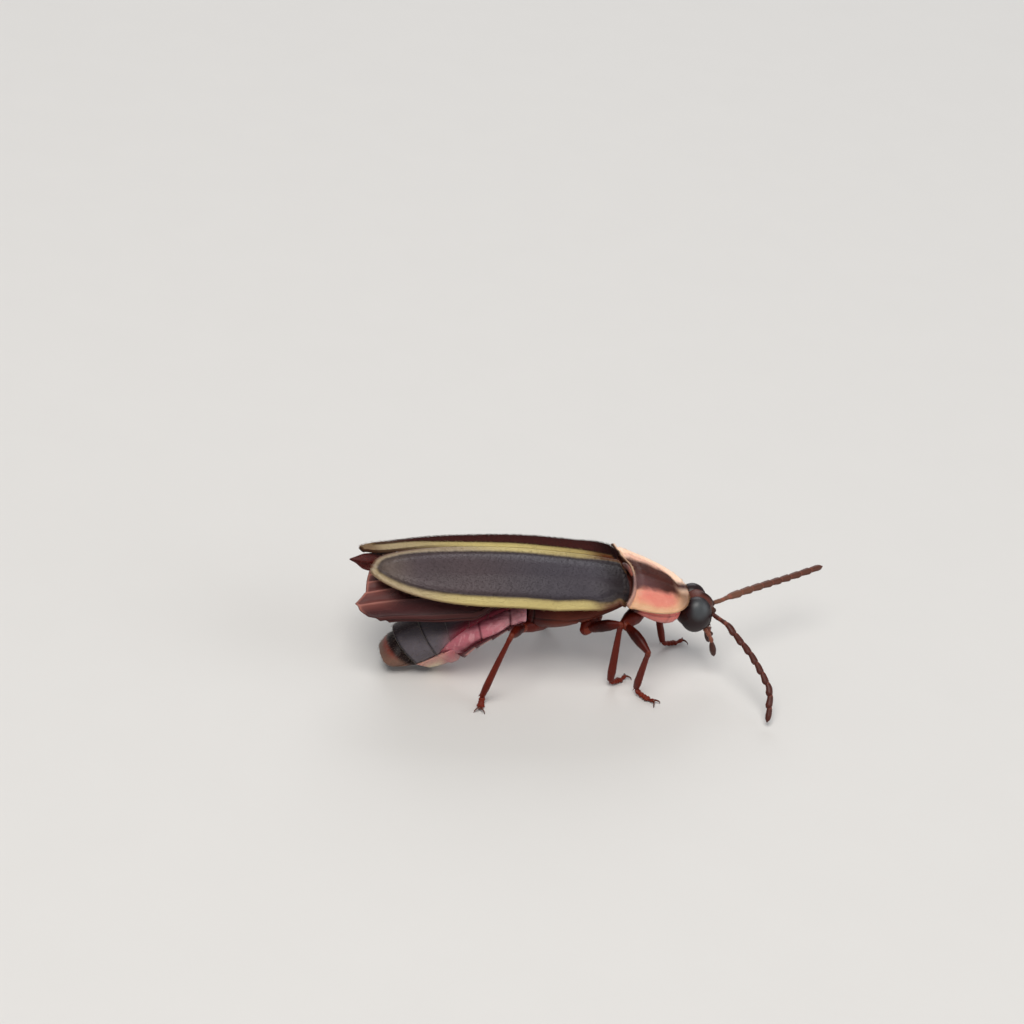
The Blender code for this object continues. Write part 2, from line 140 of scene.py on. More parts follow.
class Shape:
    """Closed surfaces in millimetres that together make one mesh."""

    def __init__(self):
        self.points, self.faces, self.values, self.maps, self.count = [], [], [], [], 0

    def add(self, points, faces, values=None, places=None):
        """Add one closed surface; its faces are turned to look outwards."""
        corners = np.concatenate([part[:, :3] for part in faces] +
                                 [part[:, [0, 2, 3]] for part in faces if part.shape[1] == 4])
        a, b, c = (points[corners[:, k]] for k in range(3))
        outward = (a * np.cross(b, c)).sum() > 0
        for part in faces:
            self.faces += ((part if outward else part[:, ::-1]) + self.count).tolist()
        self.points.append(points)
        self.values.append(values or {})
        self.maps.append(places)
        self.count += len(points)

    def tube(self, grid, **values):
        """A grid whose columns run all round, closed by a fan at each end."""
        rows, columns = grid.shape[:2]
        index = np.arange(rows * columns).reshape(rows, columns)
        index = np.concatenate([index, index[:, :1]], axis=1)
        sides = np.stack([index[:-1, :-1], index[1:, :-1], index[1:, 1:], index[:-1, 1:]], -1).reshape(-1, 4)
        ends, middles = [], []
        for row, order in ((0, 1), (-1, -1)):
            middle = np.full(columns, rows * columns + len(middles))
            ends.append(np.stack([middle, index[row, :-1], index[row, 1:]], -1)[:, ::order])
            middles.append(grid[row].mean(axis=0))
        points = np.concatenate([grid.reshape(-1, 3), middles])
        flat = {
            name: np.concatenate([np.broadcast_to(value, (rows, columns)).ravel(),
                                  [np.broadcast_to(value, (rows, columns))[row].mean() for row in (0, -1)]])
            for name, value in values.items()
        }
        self.add(points, [sides, *ends], flat)

    def plate(self, middle, thickness, **values):
        """A closed plate about a middle surface, rounded off along its whole edge."""
        rows, columns = middle.shape[:2]
        half = (thickness / 2 * edge_round(middle, thickness / 2))[..., None]
        normals = normals_of(middle)
        upper = np.arange(rows * columns).reshape(rows, columns)
        lower = upper.copy()
        inner = (rows - 2) * (columns - 2)
        lower[1:-1, 1:-1] = rows * columns + np.arange(inner).reshape(rows - 2, columns - 2)
        faces = []
        for index, order in ((upper, 1), (lower, -1)):
            quads = np.stack([index[:-1, :-1], index[1:, :-1], index[1:, 1:], index[:-1, 1:]], -1)
            faces.append(quads.reshape(-1, 4)[:, ::order])
        over, under = middle + normals * half, middle - normals * half
        points = np.concatenate([over.reshape(-1, 3), under[1:-1, 1:-1].reshape(-1, 3)])
        flat = {}
        for name, value in values.items():
            value = np.broadcast_to(value, (rows, columns))
            flat[name] = np.concatenate([value.ravel(), value[1:-1, 1:-1].ravel()])
        self.add(points, faces, flat)

    def piece(self, name, paint):
        """The object that shows this shape in that paint."""
        mesh = bpy.data.meshes.new(name)
        mesh.from_pydata((np.concatenate(self.points) * MM).tolist(), [], self.faces)
        mesh.shade_smooth()
        mesh.materials.append(paint.material)
        for key in sorted({key for values in self.values for key in values}):
            parts = [values.get(key, np.zeros(len(points))) for points, values in zip(self.points, self.values)]
            layer = mesh.attributes.new(key, "FLOAT", "POINT")
            layer.data.foreach_set("value", np.concatenate(parts).astype(np.float32))
        if self.maps[0] is not None:
            corner = np.empty(len(mesh.loops), np.int32)
            mesh.loops.foreach_get("vertex_index", corner)
            places = np.concatenate(self.maps)[corner]
            mesh.uv_layers.new(name="OFBake").data.foreach_set("uv", places.astype(np.float32).ravel())
        made = bpy.data.objects.new(name, mesh)
        made.location = SEAM_TO_ROW
        bpy.context.scene.collection.objects.link(made)
        return made


def edge_round(middle, radius):
    """For each point of a grid, how full a plate with round edges of this radius is there."""
    border = np.concatenate([middle[0], middle[-1], middle[:, 0], middle[:, -1]])
    points = middle.reshape(-1, 3)
    nearest = np.concatenate([
        np.linalg.norm(chunk[:, None, :] - border[None], axis=2).min(axis=1)
        for chunk in np.array_split(points, 1 + len(points) // 2000)
    ])
    inward = 1 - np.clip(nearest.reshape(middle.shape[:2]) / radius, 0.0, 1.0)
    return np.sqrt(np.clip(1 - inward ** 2, 0.0, 1.0))


class Channel:
    """One output of a material's nodes. Arithmetic on it adds Math nodes."""

    def __init__(self, paint, socket):
        self.paint, self.socket = paint, socket

    def maths(self, operation, first, second):
        return self.paint.node("ShaderNodeMath", {"operation": operation}, {0: first, 1: second})

    def __add__(self, other):
        return self.maths("ADD", self, other)

    def __sub__(self, other):
        return self.maths("SUBTRACT", self, other)

    def __rsub__(self, other):
        return self.maths("SUBTRACT", other, self)

    def __mul__(self, other):
        return self.maths("MULTIPLY", self, other)

    def __truediv__(self, other):
        return self.maths("DIVIDE", self, other)

    def __pow__(self, other):
        return self.maths("POWER", self, other)

    __radd__, __rmul__ = __add__, __mul__


class Paint:
    """A material. node() adds any node to it, and the other methods are short for common ones."""

    def __init__(self, name, shader_values):
        self.material = bpy.data.materials.new(name)
        self.material.use_nodes = True
        self.tree = self.material.node_tree
        self.shader = self.tree.nodes["Principled BSDF"]
        for socket, value in {"Specular IOR Level": 0.25, **shader_values}.items():
            self.shader.inputs[socket].default_value = value
        self.place = self.node("ShaderNodeTexCoord", {}, {}, "Object")

    def node(self, kind, settings, sockets, output=0):
        made = self.tree.nodes.new(kind)
        for name, value in settings.items():
            setattr(made, name, value)
        for name, value in sockets.items():
            if isinstance(value, Channel):
                self.tree.links.new(value.socket, made.inputs[name])
            else:
                made.inputs[name].default_value = value
        return Channel(self, made.outputs[output])

    def mix(self, share, first, second, way="MIX"):
        """A colour this share of the way from the first to the second."""
        settings = {"data_type": "RGBA", "blend_type": way}
        return self.node("ShaderNodeMix", settings, {0: share, 6: first, 7: second}, 2)

    def step(self, value, start, end):
        """0 before start and 1 past end, eased between them."""
        sockets = {"Value": value, "From Min": start, "From Max": end}
        return self.node("ShaderNodeMapRange", {"interpolation_type": "SMOOTHSTEP"}, sockets)

    def stretched(self, stretch):
        """The place on the animal with its axes multiplied by these three factors."""
        return self.node("ShaderNodeVectorMath", {"operation": "MULTIPLY"}, {0: self.place, 1: stretch})

    def noise(self, size, detail=2.0, stretch=(1, 1, 1)):
        """Cloudy noise from 0 to 1 with patches about this many millimetres across."""
        sockets = {"Vector": self.stretched(stretch), "Scale": 1 / (size * MM), "Detail": detail}
        return self.node("ShaderNodeTexNoise", {}, sockets)

    def cells(self, size, stretch=(1, 1, 1)):
        """The distance from the middle of the nearest of many cells of this size, about 0 to 1."""
        sockets = {"Vector": self.stretched(stretch), "Scale": 1 / (size * MM)}
        return self.node("ShaderNodeTexVoronoi", {}, sockets)

    def value(self, name):
        """A number that the mesh carries at each of its points."""
        return self.node("ShaderNodeAttribute", {"attribute_name": name}, {}, "Fac")

    def axis(self, letter):
        """The x, y or z of the place on the animal, in millimetres."""
        apart = self.node("ShaderNodeSeparateXYZ", {}, {"Vector": self.place}, letter)
        return apart / MM

    def link(self, socket, channel):
        self.tree.links.new(channel.socket, self.shader.inputs[socket])

    def relief(self, height, depth):
        """Raise the surface by this many millimetres where the height is 1."""
        self.link("Normal", self.node("ShaderNodeBump", {}, {"Height": height, "Distance": depth * MM}))


def grow(grid, around, spacing, values):
    """Evenly spread roots on a grid: their places, normals, ways down the grid, shares and values."""
    if around:
        grid = np.concatenate([grid, grid[:, :1]], axis=1)
        values = {key: np.broadcast_to(value, (grid.shape[0], grid.shape[1] - 1)) for key, value in values.items()}
        values = {key: np.concatenate([value, value[:, :1]], axis=1) for key, value in values.items()}
    a, b, c, d = grid[:-1, :-1], grid[1:, :-1], grid[1:, 1:], grid[:-1, 1:]
    area = np.linalg.norm(np.cross(c - a, d - b), axis=2) / 2 + 1e-12
    count = int(area.sum() / spacing ** 2)
    steps = np.arange(count)[:, None] * np.array([[0.7548776662, 0.5698402910]])
    pick = (steps + rng.normal(0.5, 0.35 / math.sqrt(count + 1), (count, 2))) % 1
    by_row = np.cumsum(area.sum(axis=1)) / area.sum()
    row = np.minimum(np.searchsorted(by_row, pick[:, 0]), len(by_row) - 1)
    before = np.concatenate([[0], by_row])[row]
    s = (pick[:, 0] - before) / (by_row[row] - before)
    by_column = np.cumsum(area, axis=1) / area.sum(axis=1, keepdims=True)
    flat = (by_column + np.arange(len(by_row))[:, None]).ravel()
    cell = np.minimum(np.searchsorted(flat, row + pick[:, 1]), flat.size - 1)
    row, column = np.divmod(cell, area.shape[1])
    before = np.where(column > 0, by_column[row, np.maximum(column - 1, 0)], 0.0)
    t = np.clip((pick[:, 1] - before) / np.maximum(by_column[row, column] - before, 1e-9), 0, 1)

    def at(field):
        s_, t_ = (s[:, None], t[:, None]) if field.ndim == 3 else (s, t)
        near = blend(field[row, column], field[row, column + 1], t_)
        far = blend(field[row + 1, column], field[row + 1, column + 1], t_)
        return blend(near, far, s_)

    shares = np.stack([(row + s) / area.shape[0], (column + t) / area.shape[1]], -1)
    down = unit(at(np.gradient(grid, axis=0)))
    return at(grid), unit(at(normals_of(grid))), down, shares, {
        key: at(np.broadcast_to(value, grid.shape[:2])) for key, value in values.items()}


def coat(shape, grid, spacing, length, patch, around=False, outside=1, lean=1.1, radius=0.006, lie=1, values=None):
    """Lay fine hairs over a grid; patch is its (left, low, right, high) on the coat's map."""
    roots, normals, down, shares, carried = grow(grid, around, spacing, values or {})
    count = len(roots)
    normals, down = normals * outside, down * lie
    sway = rng.normal(0, 0.22, (count, 1))
    along = unit(down + sway * np.cross(normals, down))
    long = (length * rng.uniform(0.7, 1.25, count))[:, None]
    lean = (lean + rng.normal(0, 0.10, count))[:, None]
    rise = unit(normals * np.cos(lean * 0.75) + along * np.sin(lean * 0.75))
    tip = roots + rise * long * 0.5 + unit(normals * np.cos(lean * 1.2) + along * np.sin(lean * 1.2)) * long * 0.5
    side = unit(np.cross(normals, along))
    ring = [(math.cos(angle), math.sin(angle)) for angle in (0.0, 2.0944, 4.1888)]
    points, spots = [], []
    low, high = np.array(patch[:2]), np.array(patch[2:])
    place = low + (high - low) * (0.02 + 0.96 * shares)
    for centre, size in ((roots - normals * 0.01, radius), (roots + rise * long * 0.5, radius * 0.7)):
        for across, up in ring:
            points.append(centre + (side * across + np.cross(rise, side) * up) * size)
            spots.append(place + 0.0012 * np.array([across, up]) * size / radius)
    points.append(tip)
    spots.append(place)
    points = np.stack(points, 1).reshape(-1, 3)
    first = np.arange(count)[:, None] * 7
    quads = np.concatenate([first + np.array([[k, (k + 1) % 3, 3 + (k + 1) % 3, 3 + k]]) for k in range(3)])
    tips = np.concatenate([first + np.array([[3 + k, 3 + (k + 1) % 3, 6]]) for k in range(3)] +
                          [first + np.array([[2, 1, 0]])])
    carried = {key: np.repeat(value, 7) for key, value in carried.items()}
    shape.add(points, [quads, tips], carried, np.stack(spots, 1).reshape(-1, 2))


thorax_rings = through(THORAX_RINGS, 90)
thorax_grid = ovals(thorax_rings, 96)
turn = from_below(96)
thorax_x = thorax_grid[..., 0]
seams = 0.045 * hill(turn, 0, 2.5) * ramp(-thorax_x, -0.62, -0.5)
seams += 0.050 * hill(turn - 6 * thorax_x, 52, 2.2) * ramp(-thorax_x, -0.75, -0.6)
seams += 0.040 * hill(turn + 3 * thorax_x, 84, 2.0)
seams += 0.060 * hill(thorax_x - 0.10 * np.cos(np.radians(turn * 2)), 0.58, 0.035) * ramp(-turn, -88, -80)
seams += 0.050 * hill(thorax_x + 0.12 * np.cos(np.radians(turn * 2)), -0.72, 0.04) * ramp(-turn, -62, -56)
seams += 0.040 * hill(thorax_x, -1.22, 0.04)
thorax_grid = thorax_grid - normals_of(thorax_grid, around=True) * (seams + 0.012)[..., None]
thorax_shape = Shape()
thorax_shape.tube(thorax_grid, seam=np.clip(seams / 0.05, 0, 1))
mid_back = ovals(through(MID_BACK, 40), 80)
mid_back[..., 1] *= np.where(mid_back[..., 1] < 0, 0.84, 1.0)
mid_back[..., 2] += (BACK_TILT * mid_back[..., 1] - BACK_ARCH * mid_back[..., 1] ** 2) * (mid_back[..., 1] < 0)
thorax_shape.tube(mid_back, seam=0.7)

chitin = Paint("brown_chitin", {"Roughness": 0.38, "Specular IOR Level": 0.14})
plate_colour = chitin.mix(chitin.noise(0.9, 3), tone(76, 28, 18), tone(112, 50, 34))
plate_colour = chitin.mix(chitin.step(chitin.axis("X"), -0.3, -1.15) * 0.9, plate_colour, tone(60, 7, 8))
plate_colour = chitin.mix(chitin.value("seam"), plate_colour, tone(34, 14, 12))
chitin.link("Base Color", plate_colour)
chitin.link("Roughness", 0.30 + 0.25 * chitin.noise(0.25, 3))
chitin.relief(0.5 * chitin.cells(0.055) + 0.5 * chitin.noise(0.03, 2), 0.006)
thorax = thorax_shape.piece("thorax_skin", chitin)
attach(thorax, "root")
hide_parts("thorax")


# Abdomen. Seven rings of soft rosy skin that hang down behind the thorax. Each
# ring carries a hard grey plate above and another below, every plate tucked
# under the one before it; the fifth and sixth lower plates are the pale lantern.

ABDOMEN_RINGS = through([
    # share, x, z, lean in degrees, half width, height above z, depth below z
    (0.0, -1.46, 3.02, 4, 1.36, 0.74, 0.64),
    (0.11, -2.00, 2.80, 6, 1.40, 0.72, 0.66),
    (0.235, -2.60, 2.50, 11, 1.48, 0.70, 0.74),
    (0.375, -3.24, 2.18, 18, 1.50, 0.69, 0.86),
    (0.53, -3.92, 1.83, 31, 1.38, 0.74, 1.16),
    (0.715, -4.66, 1.42, 44, 1.12, 0.84, 1.32),
    (0.875, -5.52, 1.03, 50, 0.88, 0.72, 1.34),
    (0.94, -5.98, 0.74, 54, 0.84, 0.40, 0.87),
    (0.985, -6.26, 0.52, 56, 0.74, 0.24, 0.52),
    (1.0, -6.36, 0.46, 56, 0.30, 0.10, 0.28),
], 400).T
RING_ENDS = (0.0, 0.11, 0.235, 0.375, 0.53, 0.70, 0.865, 1.0)
PLATE_REACH = [(0.0, 128), (0.30, 128), (0.40, 124), (0.50, 112), (0.60, 98), (0.65, 90), (0.70, 82), (0.78, 74),
               (0.86, 68), (1.0, 60)]
BULGE_ENDS = (0.0, 0.115, 0.335, 1.0)
LOWER_GAP = [(0.0, 50), (0.375, 50), (0.50, 46), (0.56, 32), (0.61, 17), (0.66, 8), (0.72, 2), (1.0, 2)]
PLATE_THICKNESS = 0.05
ABDOMEN_COLUMNS = 96


def abdomen_at(share, angle, swell):
    """Points on the abdomen: a share along it, degrees round it from its left over the top, and a swell."""
    share, angle, swell = np.broadcast_arrays(share, np.radians(angle), swell)
    x, z, lean, width, height, belly = (np.interp(share, ABDOMEN_RINGS[0], column) for column in ABDOMEN_RINGS[1:])
    rise = np.sin(angle) * np.where(np.sin(angle) > 0, height, belly) * (1 + swell)
    lean = np.radians(lean)
    return np.stack([x - rise * np.sin(lean), width * np.cos(angle) * (1 + swell), z + rise * np.cos(lean)], -1)


def plate_reach(share):
    """Where on the sides the upper plates end, in degrees from below."""
    return np.interp(share, *zip(*PLATE_REACH))


rows = np.linspace(0.0, 1.0, 170)[:, None]
angles = np.linspace(0, 360, ABDOMEN_COLUMNS, endpoint=False)[None, :]
in_ring = np.interp(rows, RING_ENDS, range(8)) % 1
in_fold = np.interp(rows, BULGE_ENDS, range(4)) % 1
turn = from_below(ABDOMEN_COLUMNS)
puff = 0.12 * np.sin(math.pi * in_fold) ** 0.7 * hill(turn, 98, 27) * (rows < BULGE_ENDS[2])
puff = puff - np.interp(rows, [0.0, 0.03, 0.82, 0.875, 0.91, 0.97, 1.0], [0.02, 0.085, 0.085, 0.27, 0.27, 0.12, 0.12])
skin_grid = abdomen_at(rows, angles, puff)
skin_shape = Shape()
crease = np.maximum(hill(rows, BULGE_ENDS[1], 0.008), hill(rows, BULGE_ENDS[2], 0.008))
# The last mark covers the sunk skin behind the sixth ring, which gets painted shade.
skin_shape.tube(skin_grid, fold=crease + 0.22 * (1 - np.sin(math.pi * in_ring) ** 0.5) + 0 * angles,
                high=ramp(turn, 108, 132) * ramp(-rows, -0.50, -0.34), hidden=ramp(rows, 0.84, 0.87) + 0 * angles)
membrane = Paint("rosy_membrane", {"Roughness": 0.36, "Subsurface Weight": 0.15, "Subsurface Scale": 0.0002,
                                   "Coat Weight": 0.2, "Coat Roughness": 0.3})
membrane.shader.inputs["Subsurface Radius"].default_value = (1.0, 0.35, 0.3)
pink = membrane.mix(membrane.noise(0.35, 3, (0.5, 1, 1)), tone(178, 78, 98), tone(228, 152, 160))
pink = membrane.mix(membrane.step(membrane.axis("X"), -2.9, -3.5) * 0.85, pink, tone(182, 100, 112))
# Painted light: the skin is lightened towards the front, so the bulge in the wing case's shadow still shows bright.
pink = membrane.mix(membrane.step(membrane.axis("X"), -2.7, -2.0) * 0.5, pink, tone(244, 176, 184))
pink = membrane.mix(membrane.value("fold") * 0.85, pink, tone(84, 14, 34))
# Painted highlights: pale pink flecks scattered over the skin as glints of light.
pink = membrane.mix(membrane.step(membrane.noise(0.16, 2, (1, 1, 0.4)), 0.52, 0.7) * 0.35, pink, tone(236, 184, 186))
pink = membrane.mix(membrane.value("high") * 0.85, pink, tone(98, 12, 40))
# Painted shade: the sunk skin behind the sixth ring is painted near black, as the shadow in the gap under that ring's
# edge.
pink = membrane.mix(membrane.value("hidden"), pink, tone(18, 10, 11))
membrane.link("Base Color", pink)
membrane.relief(membrane.noise(0.11, 3, (0.35, 1, 1)), 0.05)
abdomen = skin_shape.piece("abdomen_skin", membrane)
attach(abdomen, "root")
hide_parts(*[f"abdomen_{ring}" for ring in range(1, 8)])

grey = Paint("grey_plates", {"Roughness": 0.42, "Specular IOR Level": 0.2})
lantern = Paint("lantern_plates", {"Roughness": 0.35, "Subsurface Weight": 0.25, "Subsurface Scale": 0.0003,
                                   "Coat Weight": 0.25, "Coat Roughness": 0.3})
lantern.shader.inputs["Subsurface Radius"].default_value = (1.0, 0.9, 0.5)
ring_coat = Shape()


def body_plate(shape, ring, middle, reach, rows=40, columns=84):
    """One plate of a ring, centred at this angle and reaching this far to either side; its grid is returned."""
    first, final = RING_ENDS[ring - 1], RING_ENDS[ring]
    u = np.linspace(0, 1, rows)[:, None]
    v = np.linspace(-1, 1, columns)[None, :]
    corner = 0.020 * np.abs(v) ** 5 - 0.006 * hill(v, 0, 0.4)
    share = blend(first - 0.022, final + 0.014, u) + corner * u ** 2
    if ring == 7:
        share = blend(first - 0.03, 0.992, u) + 0 * v
    swell = blend(-0.040, 0.026, u ** 0.7) + 0.012 * hill(u, 0.98, 0.05)
    if ring == 7:
        swell = blend(-0.24, -0.03, ramp(u, 0.26, 0.70))
    if ring == 5 and middle < 0:
        swell = blend(-0.20, 0.020, ramp(u, 0.0, 0.75)) + 0.012 * hill(u, 0.98, 0.05)
    if middle > 0 and ring < 7:
        swell = swell - 0.085 * ramp(np.abs(v), 0.80, 1.0) * ramp(share, 0.66, 0.50)
    angle = middle + v * reach(share)
    grid = abdomen_at(share, angle, swell)
    dents = 0.5 + 0.5 * np.sin(3.1 * v * 5 + ring * 2.2) * np.sin(u * 7 + ring)
    grid = grid - normals_of(grid) * (0.012 * dents)[..., None]
    shape.plate(grid, PLATE_THICKNESS, along=u + 0 * v, across=np.abs(v) + 0 * u, ring=ring + 0 * u * v,
                below=0.0 + (middle < 0))
    return grid


upper_shape, lower_shape, lantern_shape = Shape(), Shape(), Shape()
for ring in range(1, 8):
    grid = body_plate(upper_shape, ring, 90, lambda share: 180 - plate_reach(share))
    coat(ring_coat, grid, 0.095, 0.13, (0.0, (ring - 1) / 14, 1.0, ring / 14))
    shape = lantern_shape if ring in (5, 6) else lower_shape
    grid = body_plate(shape, ring, -90, lambda share: plate_reach(share) - np.interp(share, *zip(*LOWER_GAP)))
    coat(ring_coat, grid, 0.11, 0.08, (0.0, (ring + 6) / 14, 1.0, (ring + 7) / 14))


along, across, ring_number = grey.value("along"), grey.value("across"), grey.value("ring")
plate_grey = grey.mix(grey.noise(0.5, 4), tone(76, 70, 76), tone(108, 101, 107))
fore = grey.step(grey.axis("X"), -4.7, -3.7)
flush = grey.mix(grey.step(ring_number, 4.6, 4.4), tone(150, 92, 98), tone(124, 30, 48))
plate_grey = grey.mix(grey.step(across, 0.40, 0.95) * fore * grey.step(ring_number, 5.4, 4.9), plate_grey, flush)
hind_edge = grey.step(along, 0.90, 0.97) * grey.step(ring_number, 4.0, 4.6)
plate_grey = grey.mix(hind_edge * 0.8, plate_grey, tone(26, 20, 24))
plate_grey = grey.mix(grey.step(along, 0.985, 0.995) * 0.5, plate_grey, tone(140, 132, 122))
below = grey.value("below")
belly = grey.mix(grey.noise(0.3, 2), tone(182, 112, 110), tone(208, 150, 140))
margin = grey.node("ShaderNodeMath", {"operation": "MAXIMUM"}, {0: grey.step(along, 0.74, 0.86), 1: grey.step(across, 0.80, 0.90)})
plate_grey = grey.mix(below * grey.step(ring_number, 4.6, 4.4), plate_grey, grey.mix(margin, belly, tone(74, 18, 26)))
sixth, last = grey.step(ring_number, 5.4, 5.6), grey.step(ring_number, 6.4, 6.6)
# Painted shadow: the top of the sixth ring is darkened where the hind wing's shadow falls on it.
plate_grey = grey.mix(sixth * grey.step(grey.axis("Y"), -0.52, -0.20) * 0.85, plate_grey, tone(44, 22, 24))
plate_grey = grey.mix(last * grey.step(grey.axis("Z"), 1.35, 0.70), plate_grey, tone(118, 86, 72))
plate_grey = grey.mix(last * grey.step(grey.axis("Z"), 0.72, 1.05), plate_grey, tone(136, 56, 40))
# Painted shadow: the front of the last ring is painted near black, as the shade in the gap under the sixth ring's edge.
plate_grey = grey.mix(last * grey.step(along, 0.66, 0.52), plate_grey, tone(30, 12, 11))
grey.link("Base Color", plate_grey)
grey.link("Roughness", 0.34 + 0.22 * grey.noise(0.3, 3))
grey.relief(0.55 * grey.cells(0.05) + 0.45 * grey.noise(0.16, 3), 0.008)

lantern_cream = lantern.mix(lantern.noise(0.4, 3), tone(224, 208, 158), tone(244, 236, 204))
lantern_cream = lantern.mix(lantern.step(lantern.value("along"), 0.88, 0.98) * 0.7, lantern_cream, tone(150, 120, 92))
lantern_cream = lantern.mix(lantern.step(lantern.value("across"), 0.45, 0.95) * 0.85, lantern_cream, tone(190, 124, 120))
lantern_cream = lantern.mix(lantern.step(lantern.axis("X"), -4.45, -4.05) * 0.9, lantern_cream, tone(178, 100, 108))
lantern.link("Base Color", lantern_cream)
lantern.relief(lantern.noise(0.09, 3), 0.006)

for name, shape, paint, slot in (
    ("abdomen_plates_above", upper_shape, grey, "belly"),
    ("abdomen_plates_below", lower_shape, grey, "belly"),
    ("abdomen_lantern", lantern_shape, lantern, "lantern"),
):
    made = shape.piece(name, paint)
    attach(made, "root")

fine_hair = Paint("fine_pale_hair", {"Roughness": 0.5})
fine_hair.link("Base Color", fine_hair.mix(fine_hair.noise(0.6, 2), tone(98, 84, 78), tone(142, 126, 112)))
made = ring_coat.piece("abdomen_hair", fine_hair)
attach(made, "root")


# Wing cases. Two long leathery shells, hinged at the shoulders, that meet along
# the seam and part behind. The rim is rolled into a fine bead; both edges carry
# a yellow stripe, and short grey down gives the dark middle its dull bloom.

GAP = 0.04
CASE_FRONT, CASE_LENGTH, CASE_HALF_WIDTH, CASE_DROP = 2.0, 9.35, 2.22, 1.2
CREST_X, CREST_Z, FRONT_FALL, REAR_FALL, TIP_Y = -3.0, 5.22, 0.42, 0.52, 0.85
CASE_THICKNESS = 0.09
STRIPE_WIDTH = 0.38
FRONT_BEND = 0.42


def seam_height(x):
    """Height of the wing cases' top along the middle line."""
    front = FRONT_FALL * ((x - CREST_X) / (CASE_FRONT - CREST_X)) ** 2
    behind = REAR_FALL * ((x - CREST_X) / (CASE_FRONT - CASE_LENGTH - CREST_X)) ** 2
    return CREST_Z - np.where(x > CREST_X, front, behind)


def case_drop(x, y):
    """How far a wing case lies below the seam, flat-topped in front and arched behind."""
    flatness = blend(3.4, 2.3, ramp(-x, -1.0, 5.0))
    return CASE_DROP * (np.abs(y) / CASE_HALF_WIDTH) ** flatness


def case_outer(share):
    shoulder = np.interp(share, [0.0, 0.03, 0.07, 0.13, 0.30], [1.72, 1.88, 2.00, 2.12, CASE_HALF_WIDTH])
    round_off = (1 - (np.clip(share - 0.5, 0, None) / 0.5) ** 2.5) ** (1 / 1.6)
    return TIP_Y + (shoulder - TIP_Y) * round_off


def case_inner(share):
    round_off = (1 - (np.clip(share - 0.74, 0, None) / 0.26) ** 4.5) ** (1 / 2.4)
    return TIP_Y - (TIP_Y - GAP / 2) * round_off


def distance_to(grid, line):
    """For each point of a grid, how far it is from the nearest point of a line."""
    points = grid.reshape(-1, 3)
    nearest = [np.linalg.norm(part[:, None, :] - line[None], axis=2).min(axis=1)
               for part in np.array_split(points, 1 + len(points) // 2000)]
    return np.concatenate(nearest).reshape(grid.shape[:2])


def wing_case(side, front, length, curls, corner, inner):
    """One wing case's top, curled down in front and cut back at both corners, with the distances to its edges."""
    u = np.linspace(0, 1, 210)[:, None] ** 1.2
    t = np.linspace(0, 1, 76)[None, :]
    v = blend(t, 0.5 - 0.5 * np.cos(math.pi * t), 0.75)
    share = np.minimum(0.9985, 1 - (1 - u) ** 1.5)
    y = blend(case_inner(share), case_outer(share), v)
    x = front - share * length - (corner * v ** 4 + inner * (1 - v)) * ramp(1 - share, 0.9, 1.0)
    curl = blend(curls[0], curls[1], v ** 2)
    z = seam_height(x) - case_drop(x, y) - curl * ramp(FRONT_BEND - share * length, 0.0, FRONT_BEND)
    grid = np.stack([x, side * y, z], -1)
    from_side = distance_to(grid, grid[:, -1])
    from_seam = distance_to(grid, grid[:, 0])
    ribs = 0.012 * (hill(v, 0.36, 0.06) + hill(v, 0.62, 0.06)) * ramp(share, 0.05, 0.2) * ramp(-share, -0.82, -0.6)
    rim = 0.035 * hill(from_side, 0.07, 0.06) - 0.045 * hill(from_side, 0.42, 0.10)
    seam = 0.022 * hill(from_seam, 0.07, 0.06) - 0.030 * hill(from_seam, 0.42, 0.10)
    shoulder = 0.05 * hill(x, 1.35, 0.5) * hill(y, 1.45, 0.35) - 0.06 * hill(x, 0.7, 0.6) * hill(y, 1.75, 0.25)
    ripple = 0.012 * np.sin(1.1 * x + 1.9 * y) * np.sin(0.9 * x - 2.3 * y + 0.8)
    lift = ribs + rim + seam + shoulder + ripple
    grid = grid + normals_of(grid) * (side * -1 * (lift - CASE_THICKNESS / 2))[..., None]
    return grid, from_side, from_seam


